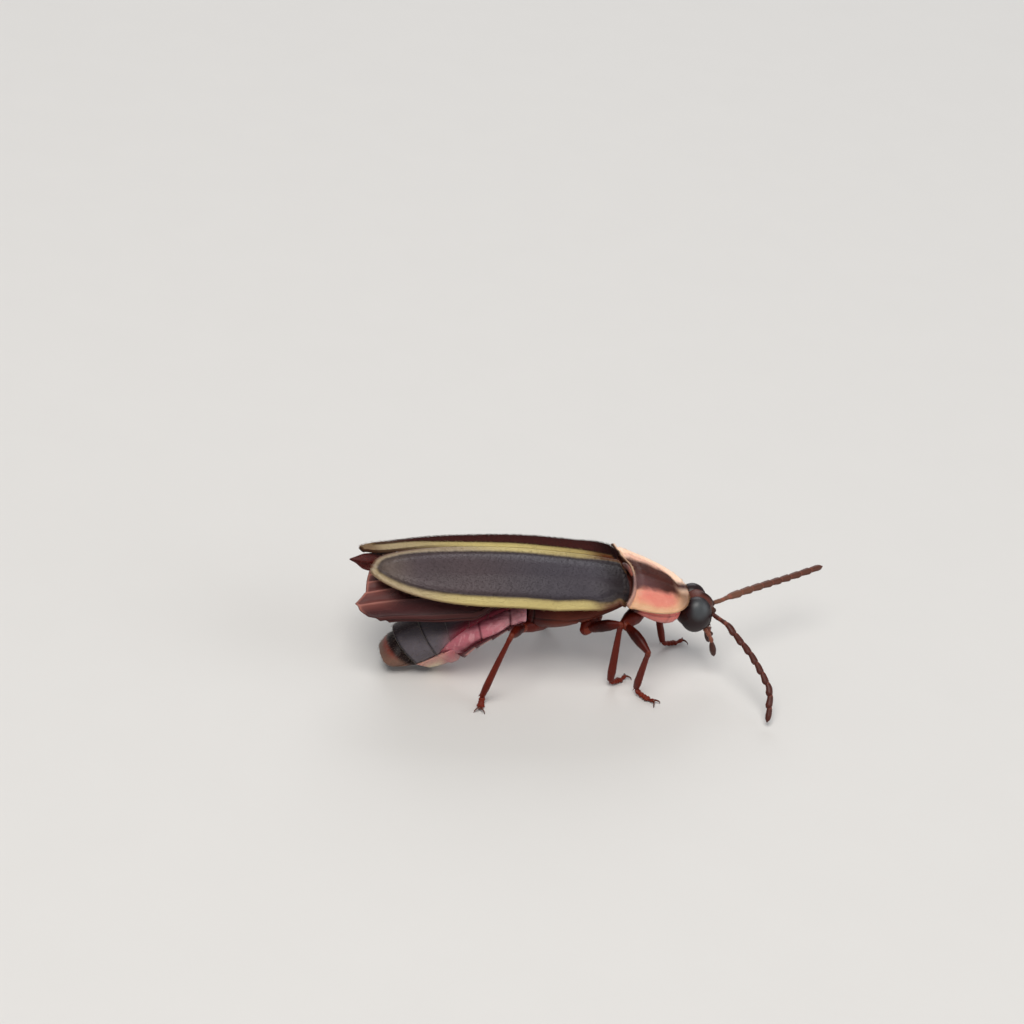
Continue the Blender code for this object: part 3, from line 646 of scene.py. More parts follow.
def stripes(paint, dark, blue, yellow, grey_yellow, rim_brown):
    """The wing cases' colours, worked out from the distances to their edges; the blue sheen in front and the far case's
    brown shade are painted.
    """
    side, seam, far, x = paint.value("side"), paint.value("seam"), paint.value("far"), paint.axis("X")
    waver = 0.05 * paint.noise(0.5, 2) - 0.025
    behind = paint.step(x, -3.4, -6.4)
    fore = 0.20 * paint.step(x, 0.3, 1.9)
    beyond_side = side - (STRIPE_WIDTH - 0.12 * behind) + fore + waver
    beyond_seam = seam - (STRIPE_WIDTH - 0.08 - 0.06 * behind) + 0.5 * fore + waver - 0.42 * far * behind
    light = paint.mix(paint.noise(0.7, 2, (0.25, 1, 1)), yellow[0], yellow[1])
    light = paint.mix(behind * 0.9, light, grey_yellow)
    light = paint.mix(paint.step(x, 0.4, 1.5), light, rim_brown)
    light = paint.mix(paint.step(side, 0.09, 0.03) * 0.6, light, rim_brown)
    # Painted shade: on the far case the stripe turns brown by the seam and at the tip.
    light = paint.mix(far * paint.step(beyond_seam, 0.0, 0.3) * 0.85, light, rim_brown)
    light = paint.mix(far * paint.step(x, -6.5, -7.2) * 0.6, light, rim_brown)
    nearest = paint.node("ShaderNodeMath", {"operation": "MINIMUM"}, {0: beyond_side, 1: beyond_seam})
    light = paint.mix(paint.step(nearest, -0.16, 0.0) * 0.6, light, tone(116, 98, 60))
    dull = paint.mix(paint.step(x, -2.0, -4.4) * (1 - far) * 0.9, light, paint.mix(0.7, dark[1], grey_yellow))
    # Painted shade: behind, the seam edge of the stripe is darkened as the shadowed gap between the cases, darkest on
    # the far case.
    dull = paint.mix(paint.step(seam, 0.13, 0.05) * behind * 0.9, dull, paint.mix(far, rim_brown, tone(46, 18, 12)))
    dull = paint.mix(paint.step(x, -2.0, 0.6) * 0.25, dull, rim_brown)
    body = paint.mix(paint.noise(1.1, 3, (0.5, 1, 1)), dark[0], dark[1])
    # Painted sheen: the middle turns blue-grey towards the front, as a reflection of the light.
    body = paint.mix(paint.step(x, -4.0, -0.5) * 0.7, body, blue)
    # Painted shade: the far case's middle is painted darker and browner than the near one.
    body = paint.mix(far * 0.95, body, tone(62, 30, 27))
    body = paint.mix(paint.step(x, -5.4, -6.8) * 0.15, body, grey_yellow)
    body = paint.mix(paint.step(x, 0.7, 1.8) * 0.85, body, tone(24, 12, 12))
    body = paint.mix(paint.step(nearest, 0.20, 0.02) * 0.6, body, tone(34, 22, 20))
    colour = paint.mix(paint.step(beyond_side, 0.05, -0.08), body, light)
    return paint.mix(paint.step(beyond_seam, 0.05, -0.08), colour, dull)


def case_material(name, gloss):
    """The shell of one wing case, dotted with fine pits and waved a little."""
    paint = Paint(name, {"Specular IOR Level": gloss})
    paint.link("Base Color", stripes(
        paint, (tone(60, 50, 53), tone(84, 70, 73)), tone(60, 58, 66), (tone(168, 150, 90), tone(196, 180, 124)),
        tone(164, 146, 118), tone(84, 46, 28)))
    paint.link("Roughness", 0.40 + 0.16 * paint.noise(0.35, 3, (0.4, 1, 1)) + 0.3 * paint.value("far"))
    paint.relief(0.45 * paint.cells(0.075) + 0.25 * paint.noise(0.035, 2) + 0.9 * paint.noise(0.8, 2, (0.5, 1, 1)), 0.014)
    return paint


down_paint = Paint("wing_case_down", {"Roughness": 0.7, "Specular IOR Level": 0.1})
down_paint.link("Base Color", stripes(
    down_paint, (tone(76, 66, 68), tone(100, 88, 88)), tone(78, 76, 84), (tone(184, 166, 110), tone(206, 192, 140)),
    tone(176, 158, 130), tone(100, 60, 40)))

for label, side, front, length, curls, corner, inner, gloss in (
    ("right", -1, 2.30, CASE_LENGTH + 0.20, (0.42, 0.42), 0.24, 0.0, 0.25),
    ("left", 1, 2.24, CASE_LENGTH + 0.39, (0.30, 0.10), -0.12, 0.25, 0.0),
):
    grid, from_side, from_seam = wing_case(side, front, length, curls, corner, inner)
    # The far mark is 1 on the left case, which is painted in darker, browner shade.
    marks = {"side": from_side, "seam": from_seam, "far": 0.0 * from_side + (side > 0)}
    shape, down_shape = Shape(), Shape()
    shape.plate(grid, CASE_THICKNESS, **marks)
    case = shape.piece("wing_case_" + label, case_material("wing_case_shell_" + label, gloss))
    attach(case, "root")
    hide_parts("elytron_" + label)
    upper = grid - normals_of(grid) * (side * CASE_THICKNESS / 2)
    coat(down_shape, upper, 0.075, 0.13, (0.0, 0.0, 1.0, 1.0), outside=-side, radius=0.005, lean=1.25,
         values=marks)
    made = down_shape.piece("wing_case_down_" + label, down_paint)
    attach(made, "root")


# Hind wings. Two thin smoky membranes, folded along their length like a fan and
# kept under the wing cases; brown veins stiffen the folds, and the pleated edge
# hangs out below and behind because the cases stand a little open.

WING_FRONT, WING_DEPTH, CURTAIN, MEMBRANE_THICKNESS = 0.9, 0.56, 0.42, 0.03
WING_BACK = {
    # share across the wing, then x and distance from the middle of its rear edge there
    "right": [(0.0, -7.20, 0.15), (0.3, -7.33, 0.60), (0.55, -7.38, 1.04), (0.70, -7.76, 1.26), (0.82, -7.60, 1.44),
              (0.92, -7.28, 1.60), (1.0, -6.85, 1.72)],
    "left": [(0.0, -6.80, 0.10), (0.5, -7.00, 0.90), (0.8, -6.95, 1.35), (1.0, -6.50, 1.65)],
}
WING_TIP = {
    "top": [(-6.20, 0.48, 4.66), (-6.97, 0.32, 4.63), (-7.39, 0.28, 4.60), (-7.66, 0.25, 4.50), (-7.90, 0.22, 4.41)],
    "bottom": [(-6.20, -0.05, 4.00), (-6.97, 0.00, 4.04), (-7.40, 0.03, 4.11), (-7.66, 0.13, 4.28), (-7.90, 0.21, 4.38)],
}

wing_paint = Paint("smoky_wing", {"Specular IOR Level": 0.12})
vein, fold, x = wing_paint.value("vein"), wing_paint.value("fold"), wing_paint.axis("X")
smoke = wing_paint.mix(wing_paint.noise(0.9, 3, (0.3, 1, 1)), tone(104, 58, 54), tone(142, 90, 82))
# Painted shadow: the front of each wing and the outer strip under the case's edge are darkened where the wing case's
# shadow falls, and the veins there get a darker copy of their colour.
case_shadow = wing_paint.step(x, -7.1, -5.9)
case_shadow = wing_paint.node("ShaderNodeMath", {"operation": "MAXIMUM"}, {0: case_shadow, 1: wing_paint.step(wing_paint.value("across"), 0.80, 0.90)})
smoke = wing_paint.mix(case_shadow * 0.9, smoke, wing_paint.mix(wing_paint.noise(0.4, 3, (0.3, 1, 1)), tone(28, 16, 18), tone(54, 38, 40)))
smoke = wing_paint.mix(fold * 0.65, smoke, tone(62, 20, 22))
smoke = wing_paint.mix(vein * 0.8, smoke, wing_paint.mix(case_shadow, tone(164, 108, 96), tone(72, 38, 36)))
smoke = wing_paint.mix(wing_paint.value("tip"), smoke, wing_paint.mix(wing_paint.noise(0.2, 3), tone(46, 5, 3), tone(80, 15, 9)))
wing_paint.link("Base Color", smoke)
wing_paint.link("Roughness", 0.36 + 0.2 * wing_paint.noise(0.4, 2))
wing_paint.link("Alpha", 0.88 + 0.12 * vein)
wing_paint.relief(wing_paint.noise(0.12, 3, (0.25, 1, 1)), 0.015)


def wing_leaf(shape, side, back, short, sink, pleats, phase, share_out=1.0):
    """One layer of a folded wing, shortened and sunk below the first, with so many pleats across it."""
    u = np.linspace(0, 1, 150)[:, None]
    v = np.linspace(0, 1, 110)[None, :]
    shares, rear_x, rear_y = np.array(back).T
    x = blend(WING_FRONT, np.interp(v, shares, rear_x) + short, u)
    outer = blend(blend(0.95, 1.32, ramp(-x, -WING_FRONT, 1.4)), 1.8, ramp(-x, 1.4, 3.6))
    y = blend(blend(0.03, outer, v), np.interp(v, shares, rear_y), ramp(u, 0.72, 1.0)) * share_out
    hang = CURTAIN * ramp(-x, 1.5, 3.5) * (y / 1.8) ** 4
    z = seam_height(x) - (WING_DEPTH + 1.25 * case_drop(x, y) + hang) - sink
    wave = (v * pleats + phase) % 1
    crease = 1 - 4 * np.abs(wave - 0.5) * np.abs(wave - 0.5)
    depth = 0.085 * ramp(-x, 0.0, 4.5) * ramp(v, 0.02, 0.2)
    grid = np.stack([x, side * y, z - depth * crease - 0.02], -1)
    vein = hill(wave, 0.02, 0.030) + hill(wave, 0.98, 0.030) + hill(v, 0.985, 0.012)
    vein = np.clip(vein + hill(u, 0.995, 0.006), 0, 1) + 0 * x
    thick = MEMBRANE_THICKNESS * (1 + vein)
    shape.plate(grid, thick, vein=vein, fold=crease * ramp(-x, 0.5, 4.0), across=v + 0 * u)


for label, side in (("right", -1), ("left", 1)):
    shape = Shape()
    back = WING_BACK[label]
    wing_leaf(shape, side, back, 0.0, 0.0, 5, 0.15)
    wing_leaf(shape, side, back, 0.35, 0.15, 7, 0.4, 0.985)
    wing_leaf(shape, side, back, 1.20, 0.30, 6, 0.7, 0.95)
    if label == "left":
        top, bottom = (through(WING_TIP[edge], 70)[:, None] for edge in ("top", "bottom"))
        v = np.linspace(0, 1, 30)[None, :, None]
        grid = blend(top, bottom, v)
        grid = grid + np.array([0.0, 0.06, 0.0]) * np.sin(9 * v + 0.6) * np.linspace(1, 0.1, 70)[:, None, None]
        shape.plate(grid, 0.05, vein=0.3, fold=0.5, tip=1.0)
    wing = shape.piece("wing_" + label, wing_paint)
    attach(wing, "root")
    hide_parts("hind_wing_" + label)


# Front of the thorax. A soft rosy collar under the neck shield, which carries
# the front legs.

COLLAR_RINGS = [
    (2.30, 3.60, 1.05, 0.42, 0.25),
    (2.42, 3.55, 1.22, 0.50, 0.40),
    (2.95, 3.40, 1.32, 0.48, 0.55),
    (3.50, 3.22, 1.28, 0.46, 0.62),
    (4.00, 3.10, 1.12, 0.42, 0.60),
    (4.25, 3.05, 0.92, 0.38, 0.48),
    (4.36, 3.02, 0.75, 0.32, 0.36),
]
collar_grid = ovals(through(COLLAR_RINGS, 90), 96)
turn, collar_x = from_below(96), collar_grid[..., 0]
creases = 0.035 * hill(turn, 0, 3.0) * ramp(-collar_x, -4.1, -3.9)
creases += 0.030 * hill(turn + 16 * (collar_x - 3.3), 58, 4.0)
creases += 0.030 * hill(turn - 8 * (collar_x - 3.3), 88, 4.0)
creases += 0.018 * hill(collar_x + 0.08 * np.cos(np.radians(turn)), 3.85, 0.06)
creases += 0.040 * hill(collar_x, 2.52, 0.04)
creases += 0.008 * np.sin(collar_x * 46) * ramp(collar_x, 3.9, 4.1)
collar_grid = collar_grid - normals_of(collar_grid, around=True) * (creases + 0.012)[..., None]
shape = Shape()
shape.tube(collar_grid, fold=np.clip(creases / 0.05, 0, 1))
rosy = Paint("rosy_shell", {"Roughness": 0.38, "Subsurface Weight": 0.12, "Subsurface Scale": 0.0002,
                            "Coat Weight": 0.15, "Coat Roughness": 0.35})
rosy.shader.inputs["Subsurface Radius"].default_value = (1.0, 0.35, 0.3)
rose = rosy.mix(rosy.noise(0.5, 3), tone(214, 96, 90), tone(242, 142, 126))
rose = rosy.mix(rosy.step(rosy.axis("Z"), 3.15, 2.7) * 0.45, rose, tone(150, 62, 54))
rose = rosy.mix(rosy.value("fold") * 0.75, rose, tone(86, 28, 26))
rose = rosy.mix(rosy.step(rosy.axis("X"), 2.85, 2.55), rose, tone(62, 28, 24))
rosy.link("Base Color", rose)
rosy.relief(0.5 * rosy.cells(0.06) + 0.5 * rosy.noise(0.15, 3), 0.008)
collar = shape.piece("collar", rosy)
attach(collar, "root")
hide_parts("prothorax")


# Small triangle of shell between the shield and the wing cases, which fills the
# notch at the front of the seam.

shape = Shape()
u, t = np.linspace(0, 1, 40)[:, None], np.linspace(-1, 1, 40)[None, :]
half = 0.52 * (1 - u ** 1.7) + 0.06
x = 2.60 - 0.50 * u + 0.05 * t ** 2
z = 4.25 + 0.36 * ramp(u, 0.0, 0.9) - 0.12 * t ** 2 - 0.05 * hill(t, 0, 0.15) * (1 - u)
shape.plate(np.stack([x, half * t * np.where(t < 0, 0.45, 1.1), z], -1), 0.08, along=u + 0 * t)
brown = Paint("triangle_shell", {"Roughness": 0.42})
patch = brown.mix(brown.noise(0.25, 3), tone(122, 58, 44), tone(160, 84, 66))
patch = brown.mix(brown.step(brown.value("along"), 0.25, 0.75), patch, tone(66, 34, 30))
brown.link("Base Color", patch)
brown.relief(0.5 * brown.cells(0.05) + 0.5 * brown.noise(0.1, 2), 0.008)
shape.tube(ovals([(2.44, 4.08, 0.50, 0.05, 0.05), (2.30, 4.12, 0.72, 0.10, 0.10),
                  (2.16, 4.20, 0.62, 0.10, 0.16), (2.08, 4.26, 0.30, 0.06, 0.12)], 40), along=0.8)
triangle = shape.piece("triangle", brown)
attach(triangle, "root")
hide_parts("scutellum")


# Neck shield. A thin flat plate that roofs the collar and the nape, glued along
# its middle and free at its rim; cream, with a rosy cheek on either side of a
# broad dark middle, its rim turned up a little and pitted with fine dots.

SHIELD_REAR, SHIELD_FRONT, SHIELD_HALF_WIDTH = 2.51, 4.76, 1.98
SHIELD_Z, SHIELD_SLOPE, SHIELD_ARCH, SHIELD_WIDEST, SHIELD_CORNERS = 4.28, 0.347, 0.30, 0.05, 0.51
SHIELD_ROLL, SHIELD_TURN, SHIELD_MIDDLE = 0.049, math.radians(-1.8), 3.7
SHIELD_THICKNESS = 0.11
DARK_BAND = [(2.0, 0.92), (2.5, 0.90), (3.1, 0.78), (3.8, 0.68), (4.3, 0.48), (4.76, 0.30)]

u = 0.5 - 0.5 * np.cos(math.pi * np.linspace(0, 1, 130)[:, None])
u = blend(np.linspace(0, 1, 130)[:, None], u, 0.7)
t = np.linspace(-1, 1, 150)[None, :]
t = blend(t, np.sin(t * math.pi / 2), 0.7)
share = np.minimum(0.997, 1 - (1 - u) ** 1.5)
past = np.clip(share - SHIELD_WIDEST, 0, None) / (1 - SHIELD_WIDEST)
half = SHIELD_HALF_WIDTH * np.where(share < SHIELD_WIDEST, blend(0.985, 1.0, share / SHIELD_WIDEST),
                                    (1 - past ** 1.97) ** (1 / 2.26))
y = half * t
x = blend(SHIELD_REAR, SHIELD_FRONT, share) - SHIELD_CORNERS * (np.abs(y) / SHIELD_HALF_WIDTH) ** 2.5 * (1 - share)
x = x - 0.20 * hill(y, 1.0, 0.42) * (1 - share) ** 2
z = SHIELD_Z - SHIELD_SLOPE * (x - SHIELD_REAR) - SHIELD_ARCH * (y / SHIELD_HALF_WIDTH) ** 2 + SHIELD_ROLL * y
grid = np.stack([x, y, z], -1)
rim = distance_to(grid, np.concatenate([grid[:, 0], grid[-1], grid[:, -1]]))
back = distance_to(grid, grid[0])
lift = 0.10 * ramp(rim, 0.25, 0.75) * ramp(back, 0.1, 0.5) - 0.05 * hill(rim, 0.40, 0.16)
lift += 0.035 * hill(rim, 0.04, 0.07) + 0.050 * hill(back, 0.06, 0.05) - 0.05 * hill(back, 0.22, 0.09)
lift -= 0.020 * hill(y, 0, 0.14) * ramp(back, 0.1, 0.5) * ramp(rim, 0.1, 0.4)
lift -= 0.05 * hill(np.abs(y), 1.02, 0.28) * hill(x, 2.85, 0.26)
grid = grid + normals_of(grid) * (lift - SHIELD_THICKNESS / 2)[..., None]
mark = np.abs(y) - np.interp(x, *zip(*DARK_BAND))
along, beside, rise = grid[..., 0] - SHIELD_MIDDLE, grid[..., 1], grid[..., 2]
grid = np.stack([SHIELD_MIDDLE + along * math.cos(SHIELD_TURN) - beside * math.sin(SHIELD_TURN),
                 along * math.sin(SHIELD_TURN) + beside * math.cos(SHIELD_TURN), rise], -1)

shield_paint = Paint("shield", {"Subsurface Weight": 0.12, "Subsurface Scale": 0.0002, "Specular IOR Level": 0.15,
                                "Coat Weight": 0.04, "Coat Roughness": 0.35})
shield_paint.shader.inputs["Subsurface Radius"].default_value = (1.0, 0.6, 0.4)


def shield_colours(paint, dark, lilac_sheen, cheek, cream, olive):
    """The shield's marks, from the distances to its rim and to its dark band; the lilac sheen on the band's near half
    and the glare that pales the far half are painted.
    """
    rim, back, mark, x = paint.value("rim"), paint.value("back"), paint.value("mark"), paint.axis("X")
    # near is 1 on the near half and 0 on the far half; the far half is painted paler with glare.
    near = paint.step(paint.axis("Y"), 0.3, -0.4)
    waver = 0.14 * paint.noise(0.3, 3) - 0.07
    pale = paint.mix(paint.noise(0.5, 3), cream[0], cream[1])
    pale = paint.mix(paint.step(x, 4.0, 4.6) * near * 0.8, pale, olive)
    # Painted glare: the cream is paler on the far half.
    pale = paint.mix((1 - near) * 0.85, pale, tone(250, 216, 192))
    rosy = paint.mix(paint.noise(0.34, 2), cheek[0], cheek[1])
    rosy_share = paint.step(rim + waver + 0.16 * paint.step(x, 2.8, 3.4), 0.24, 0.66) * paint.step(x, 4.5, 3.9)
    # Painted glare: the rosy cheek fades on the far half.
    rosy_share = rosy_share * (0.40 + 0.60 * near) * (0.35 + 0.65 * paint.step(back + waver, 0.15, 0.55))
    colour = paint.mix(rosy_share, pale, rosy)
    band = paint.mix(paint.noise(0.3, 3), dark[0], dark[1])
    # Painted sheen: the rear of the dark band is lilac-grey on the near half, as a reflection of the light.
    band = paint.mix(paint.step(x, 4.0, 2.9) * near * 0.8, band, lilac_sheen)
    clear = 0.85 * paint.step(x, 4.10, 4.55) * paint.step(paint.axis("Y"), 0.25, -0.15)
    marked = paint.step(mark + 2.2 * waver - 0.12 * (1 - near), 0.19, -0.19)
    colour = paint.mix(marked * (1 - clear), colour, band)
    colour = paint.mix(paint.step(back, 0.20, 0.12) * 0.75, colour, paint.mix(near, cream[1], tone(160, 126, 120)))
    colour = paint.mix(paint.step(rim, 0.05, 0.02) * 0.3, colour, olive)
    return paint.mix(paint.step(back, 0.065, 0.035) * 0.95, colour, dark[0])


shield_paint.link("Base Color", shield_colours(
    shield_paint, (tone(46, 13, 5), tone(80, 30, 16)), tone(94, 60, 60), (tone(206, 112, 98), tone(226, 152, 132)),
    (tone(202, 150, 110), tone(222, 180, 144)), tone(104, 70, 50)))
shield_paint.link("Roughness", 0.36 + 0.2 * shield_paint.noise(0.3, 3))
shield_paint.relief(0.6 * shield_paint.cells(0.065) + 0.4 * shield_paint.noise(0.03, 2), 0.012)
shape, down_shape = Shape(), Shape()
shape.plate(grid, SHIELD_THICKNESS, rim=rim, back=back, mark=mark)
shield = shape.piece("neck_shield", shield_paint)
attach(shield, "root")
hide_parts("pronotum")
shield_down = Paint("shield_down", {"Roughness": 0.6, "Specular IOR Level": 0.1})
shield_down.link("Base Color", shield_colours(
    shield_down, (tone(62, 26, 16), tone(90, 50, 36)), tone(106, 74, 72), (tone(216, 138, 120), tone(230, 172, 150)),
    (tone(214, 170, 130), tone(230, 198, 164)), tone(132, 102, 78)))
upper = grid + normals_of(grid) * (SHIELD_THICKNESS / 2)
coat(down_shape, upper, 0.075, 0.10, (0.0, 0.0, 1.0, 1.0), radius=0.0045, lean=1.2, lie=-1,
     values={"rim": rim, "back": back, "mark": mark})
made = down_shape.piece("neck_shield_down", shield_down)
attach(made, "root")


# Head. A short brown capsule that is mostly eyes: a narrow face between them
# with the two sockets of the feelers, a small lip, two curved jaws and the
# block under the mouth from which the tasters hang.

HEAD_RINGS = [
    (4.41, 2.92, 0.45, 0.26, 0.34),
    (4.48, 2.90, 0.66, 0.38, 0.50),
    (4.72, 2.86, 0.84, 0.44, 0.66),
    (4.95, 2.83, 0.90, 0.60, 0.74),
    (5.16, 2.80, 0.86, 0.68, 0.76),
    (5.40, 2.78, 0.72, 0.62, 0.74),
    (5.60, 2.76, 0.50, 0.50, 0.66),
    (5.74, 2.74, 0.28, 0.32, 0.46),
]
FEELER_SOCKETS = {"right": (5.74, -0.19, 2.84), "left": (5.76, 0.19, 2.90)}


def limb(path, radii, flat=1.0, side=(0.0, 0.0, 1.0), around=16, rounding=0.8):
    """Rings about a path with round ends; flat narrows them on the sides that side points to."""
    path, radii = np.asarray(path, float), np.asarray(radii, float)
    along = unit(np.gradient(path, axis=0))
    bulge = np.radians([86.0, 68.0, 45.0, 22.0])
    front = [path[0] - along[0] * radii[0] * rounding * math.sin(angle) for angle in bulge]
    rear = [path[-1] + along[-1] * radii[-1] * rounding * math.sin(angle) for angle in bulge[::-1]]
    centres = np.concatenate([front, path, rear])
    sizes = np.concatenate([radii[0] * np.cos(bulge), radii, radii[-1] * np.cos(bulge[::-1])])
    along = np.concatenate([np.repeat(along[:1], 4, 0), along, np.repeat(along[-1:], 4, 0)])
    across = unit(np.asarray(side, float) - along * (along @ np.asarray(side, float))[:, None])
    beside = np.cross(along, across)
    angle = np.linspace(0, 2 * math.pi, around, endpoint=False)[None, :, None]
    ring = across[:, None] * np.cos(angle) * flat + beside[:, None] * np.sin(angle)
    return centres[:, None] + ring * sizes[:, None, None]


def swelling(keys, count):
    """Radii along a limb, eased between (share, radius) keys."""
    return np.interp(np.linspace(0, 1, count), *zip(*keys))


head_grid = ovals(through(HEAD_RINGS, 80), 88)
turn, head_x = from_below(88), head_grid[..., 0]
dips = 0.05 * hill(turn, 180, 10) * ramp(head_x, 5.1, 5.4)
dips += 0.04 * hill(head_x - 0.05 * np.cos(np.radians(turn)), 5.62, 0.03) * ramp(-turn, -120, -100)
dips += 0.03 * hill(turn, 0, 3) + 0.035 * hill(turn, 42, 3) * ramp(head_x, 4.6, 4.9)
head_grid = head_grid - normals_of(head_grid, around=True) * (dips + 0.015)[..., None]
shape = Shape()
shape.tube(head_grid, pale=ramp(head_x, 5.5, 5.72) * ramp(turn, 70, 120), dark=np.clip(dips / 0.04, 0, 1))
for socket in FEELER_SOCKETS.values():
    centre = np.array(socket)
    path = centre + np.array([[-0.12, 0, 0], [0.0, 0, 0], [0.05, 0, 0], [0.07, 0, 0]])
    shape.tube(limb(path, [0.16, 0.165, 0.15, 0.10]), pale=0.6, dark=0.0)
u, t = np.linspace(0, 1, 30)[:, None], np.linspace(-1, 1, 40)[None, :]
lip = np.stack([5.60 + 0.18 * u - 0.10 * t ** 2, 0.26 * t * (1 - 0.35 * u ** 2), 2.42 - 0.22 * u - 0.03 * t ** 2], -1)
shape.plate(lip, 0.06, pale=0.5 + 0 * u * t, dark=0 * u * t)
chin = through([(5.30, 0.0, 2.18), (5.48, 0.0, 2.12), (5.64, 0.0, 2.10)], 12)
shape.tube(limb(chin, swelling([(0, 0.24), (0.6, 0.25), (1, 0.16)], 12), flat=0.55, around=24), pale=0.2, dark=0.0)
face = Paint("head_shell", {"Specular IOR Level": 0.15})
skull = face.mix(face.noise(0.25, 3), tone(24, 7, 7), tone(44, 18, 16))
skull = face.mix(face.value("pale") * 0.5, skull, face.mix(face.noise(0.12, 2), tone(84, 50, 40), tone(120, 82, 66)))
skull = face.mix(face.step(face.axis("Z"), 2.9, 3.4) * 0.75, skull, tone(98, 50, 40))
skull = face.mix(face.value("dark") * 0.8, skull, tone(24, 10, 9))
face.link("Base Color", skull)
face.link("Roughness", 0.32 + 0.2 * face.noise(0.2, 3))
face.relief(0.6 * face.cells(0.045) + 0.4 * face.noise(0.1, 2), 0.006)
head = shape.piece("head_skin", face)
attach(head, "root")
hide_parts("head")

jaws = Shape()
for side in (-1, 1):
    path = [(5.52, side * 0.24, 2.26), (5.68, side * 0.27, 2.16), (5.80, side * 0.18, 2.08), (5.84, side * 0.03, 2.04)]
    jaws.tube(limb(through(path, 24), swelling([(0, 0.085), (0.5, 0.06), (1, 0.014)], 24), flat=0.7))
horn = Paint("jaw_horn", {"Roughness": 0.25, "Coat Weight": 0.4, "Coat Roughness": 0.15})
horn.link("Base Color", horn.mix(horn.noise(0.1, 2), tone(70, 26, 14), tone(112, 50, 28)))
horn.relief(horn.noise(0.04, 2), 0.003)
made = jaws.piece("jaws", horn)
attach(made, "root")


# Eyes. Two great black domes that almost meet, each made of about 2500 tiny
# lenses; their wax-smooth faces carry a painted blue-grey sheen.

EYE_CENTRE, EYE_HALF_SIZES = (5.06, 0.48, 2.83), (0.58, 0.48, 0.72)
LENS_DEPTH = 0.010


def lens_ball(halvings):
    """A ball with one raised point for each lens, and the hollows between them."""
    golden = (1 + math.sqrt(5)) / 2
    points = [(a, b * golden, 0) for a in (-1, 1) for b in (-1, 1)]
    points = unit(np.array([np.roll(point, turn) for point in points for turn in range(3)], float))
    gaps = np.linalg.norm(points[:, None] - points[None], axis=2)
    near = (gaps > 0.1) & (gaps < 1.2)
    faces = [(i, j, k) for i in range(12) for j in range(i + 1, 12) for k in range(j + 1, 12)
             if near[i, j] and near[j, k] and near[i, k]]
    faces = np.array([(i, j, k) if np.linalg.det(points[[i, j, k]]) > 0 else (i, k, j) for i, j, k in faces])
    for _ in range(halvings):
        pairs = np.sort(np.concatenate([faces[:, [0, 1]], faces[:, [1, 2]], faces[:, [2, 0]]]), axis=1)
        edges, index = np.unique(pairs, axis=0, return_inverse=True)
        ab, bc, ca = index.reshape(3, -1) + len(points)
        points = np.concatenate([points, unit(points[edges].sum(axis=1))])
        a, b, c = faces.T
        faces = np.concatenate([np.stack(corners, 1) for corners in ((a, ab, ca), (b, bc, ab), (c, ca, bc), (ab, bc, ca))])
    directed = np.concatenate([faces[:, [0, 1]], faces[:, [1, 2]], faces[:, [2, 0]]])
    owner = np.tile(np.arange(len(faces)), 3)
    left = {(a, b): face for (a, b), face in zip(directed.tolist(), owner.tolist())}
    hollow = unit(points[faces].mean(axis=1))
    sides = [(a, len(points) + left[b, a], len(points) + left[a, b]) for a, b in directed.tolist()]
    return points, hollow, np.array(sides)


lens, hollow, lens_faces = lens_ball(4)
eye_paint = Paint("eye_lenses", {"Roughness": 0.42, "Specular IOR Level": 0.25, "Coat Weight": 0.14,
                                "Coat Roughness": 0.3})
# Painted reflection: lenses that face out and up are painted blue-grey as the sheen of the bright sky, and the rest
# stay dark.
face_on = eye_paint.value("face_on")
eye_sheen = eye_paint.mix(eye_paint.step(face_on, 0.60, 0.98), tone(28, 6, 6), tone(70, 74, 76))
eye_sheen = eye_paint.mix(eye_paint.step(eye_paint.axis("Z"), 2.80, 2.40), eye_sheen, tone(32, 5, 5))
eye_sheen = eye_paint.mix(eye_paint.step(eye_paint.axis("X"), 4.90, 4.66), eye_sheen, tone(26, 5, 5))
eye_paint.link("Base Color", eye_paint.mix(eye_paint.noise(0.3, 2) * 0.4, eye_sheen, tone(36, 26, 34)))
eye_paint.relief(eye_paint.noise(0.03, 2), 0.001)
for label, side in (("right", -1), ("left", 1)):
    shape = Shape()
    centre = np.array(EYE_CENTRE) * (1, side, 1)
    ball = np.concatenate([lens * np.array(EYE_HALF_SIZES), hollow * (np.array(EYE_HALF_SIZES) - LENS_DEPTH)])
    outward = np.concatenate([lens, hollow]) @ unit(np.array([0.06, side * 0.70, 0.68]))
    shape.add(ball + centre, [lens_faces], {"face_on": np.clip(outward, 0, 1)})
    eye = shape.piece("eye_lenses_" + label, eye_paint)
    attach(eye, "root")
    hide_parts("eye_" + label)


# Feelers. Eleven hard links each, a long one, a short one and nine that widen
# a little forwards like the teeth of a saw, with pale soft joints between them.

FEELER_ROUTES = {
    "right": [(5.66, -0.20, 2.80), (5.86, -0.42, 2.71), (6.07, -0.72, 2.70), (6.29, -0.95, 2.61), (6.51, -1.20, 2.40),
              (7.02, -1.95, 2.01), (7.48, -2.78, 1.43), (7.60, -3.12, 1.09), (7.54, -3.68, 0.26)],
    "left": [(5.68, 0.18, 2.88), (6.20, 0.38, 2.94), (6.58, 0.60, 2.98), (7.70, 1.22, 3.02), (9.20, 2.06, 3.00),
             (10.66, 2.80, 3.08)],
}
FEELER_LINKS = [0.0, 0.105, 0.165, 0.265, 0.36, 0.45, 0.54, 0.625, 0.71, 0.80, 0.89, 1.0]


def part_way(path, start, end, count):
    """Points evenly spaced between two shares of a path's length."""
    run = np.concatenate([[0], np.cumsum(np.linalg.norm(np.diff(path, axis=0), axis=1))])
    at = np.linspace(start, end, count) * run[-1]
    return np.stack([np.interp(at, run, path[:, axis]) for axis in range(3)], -1)


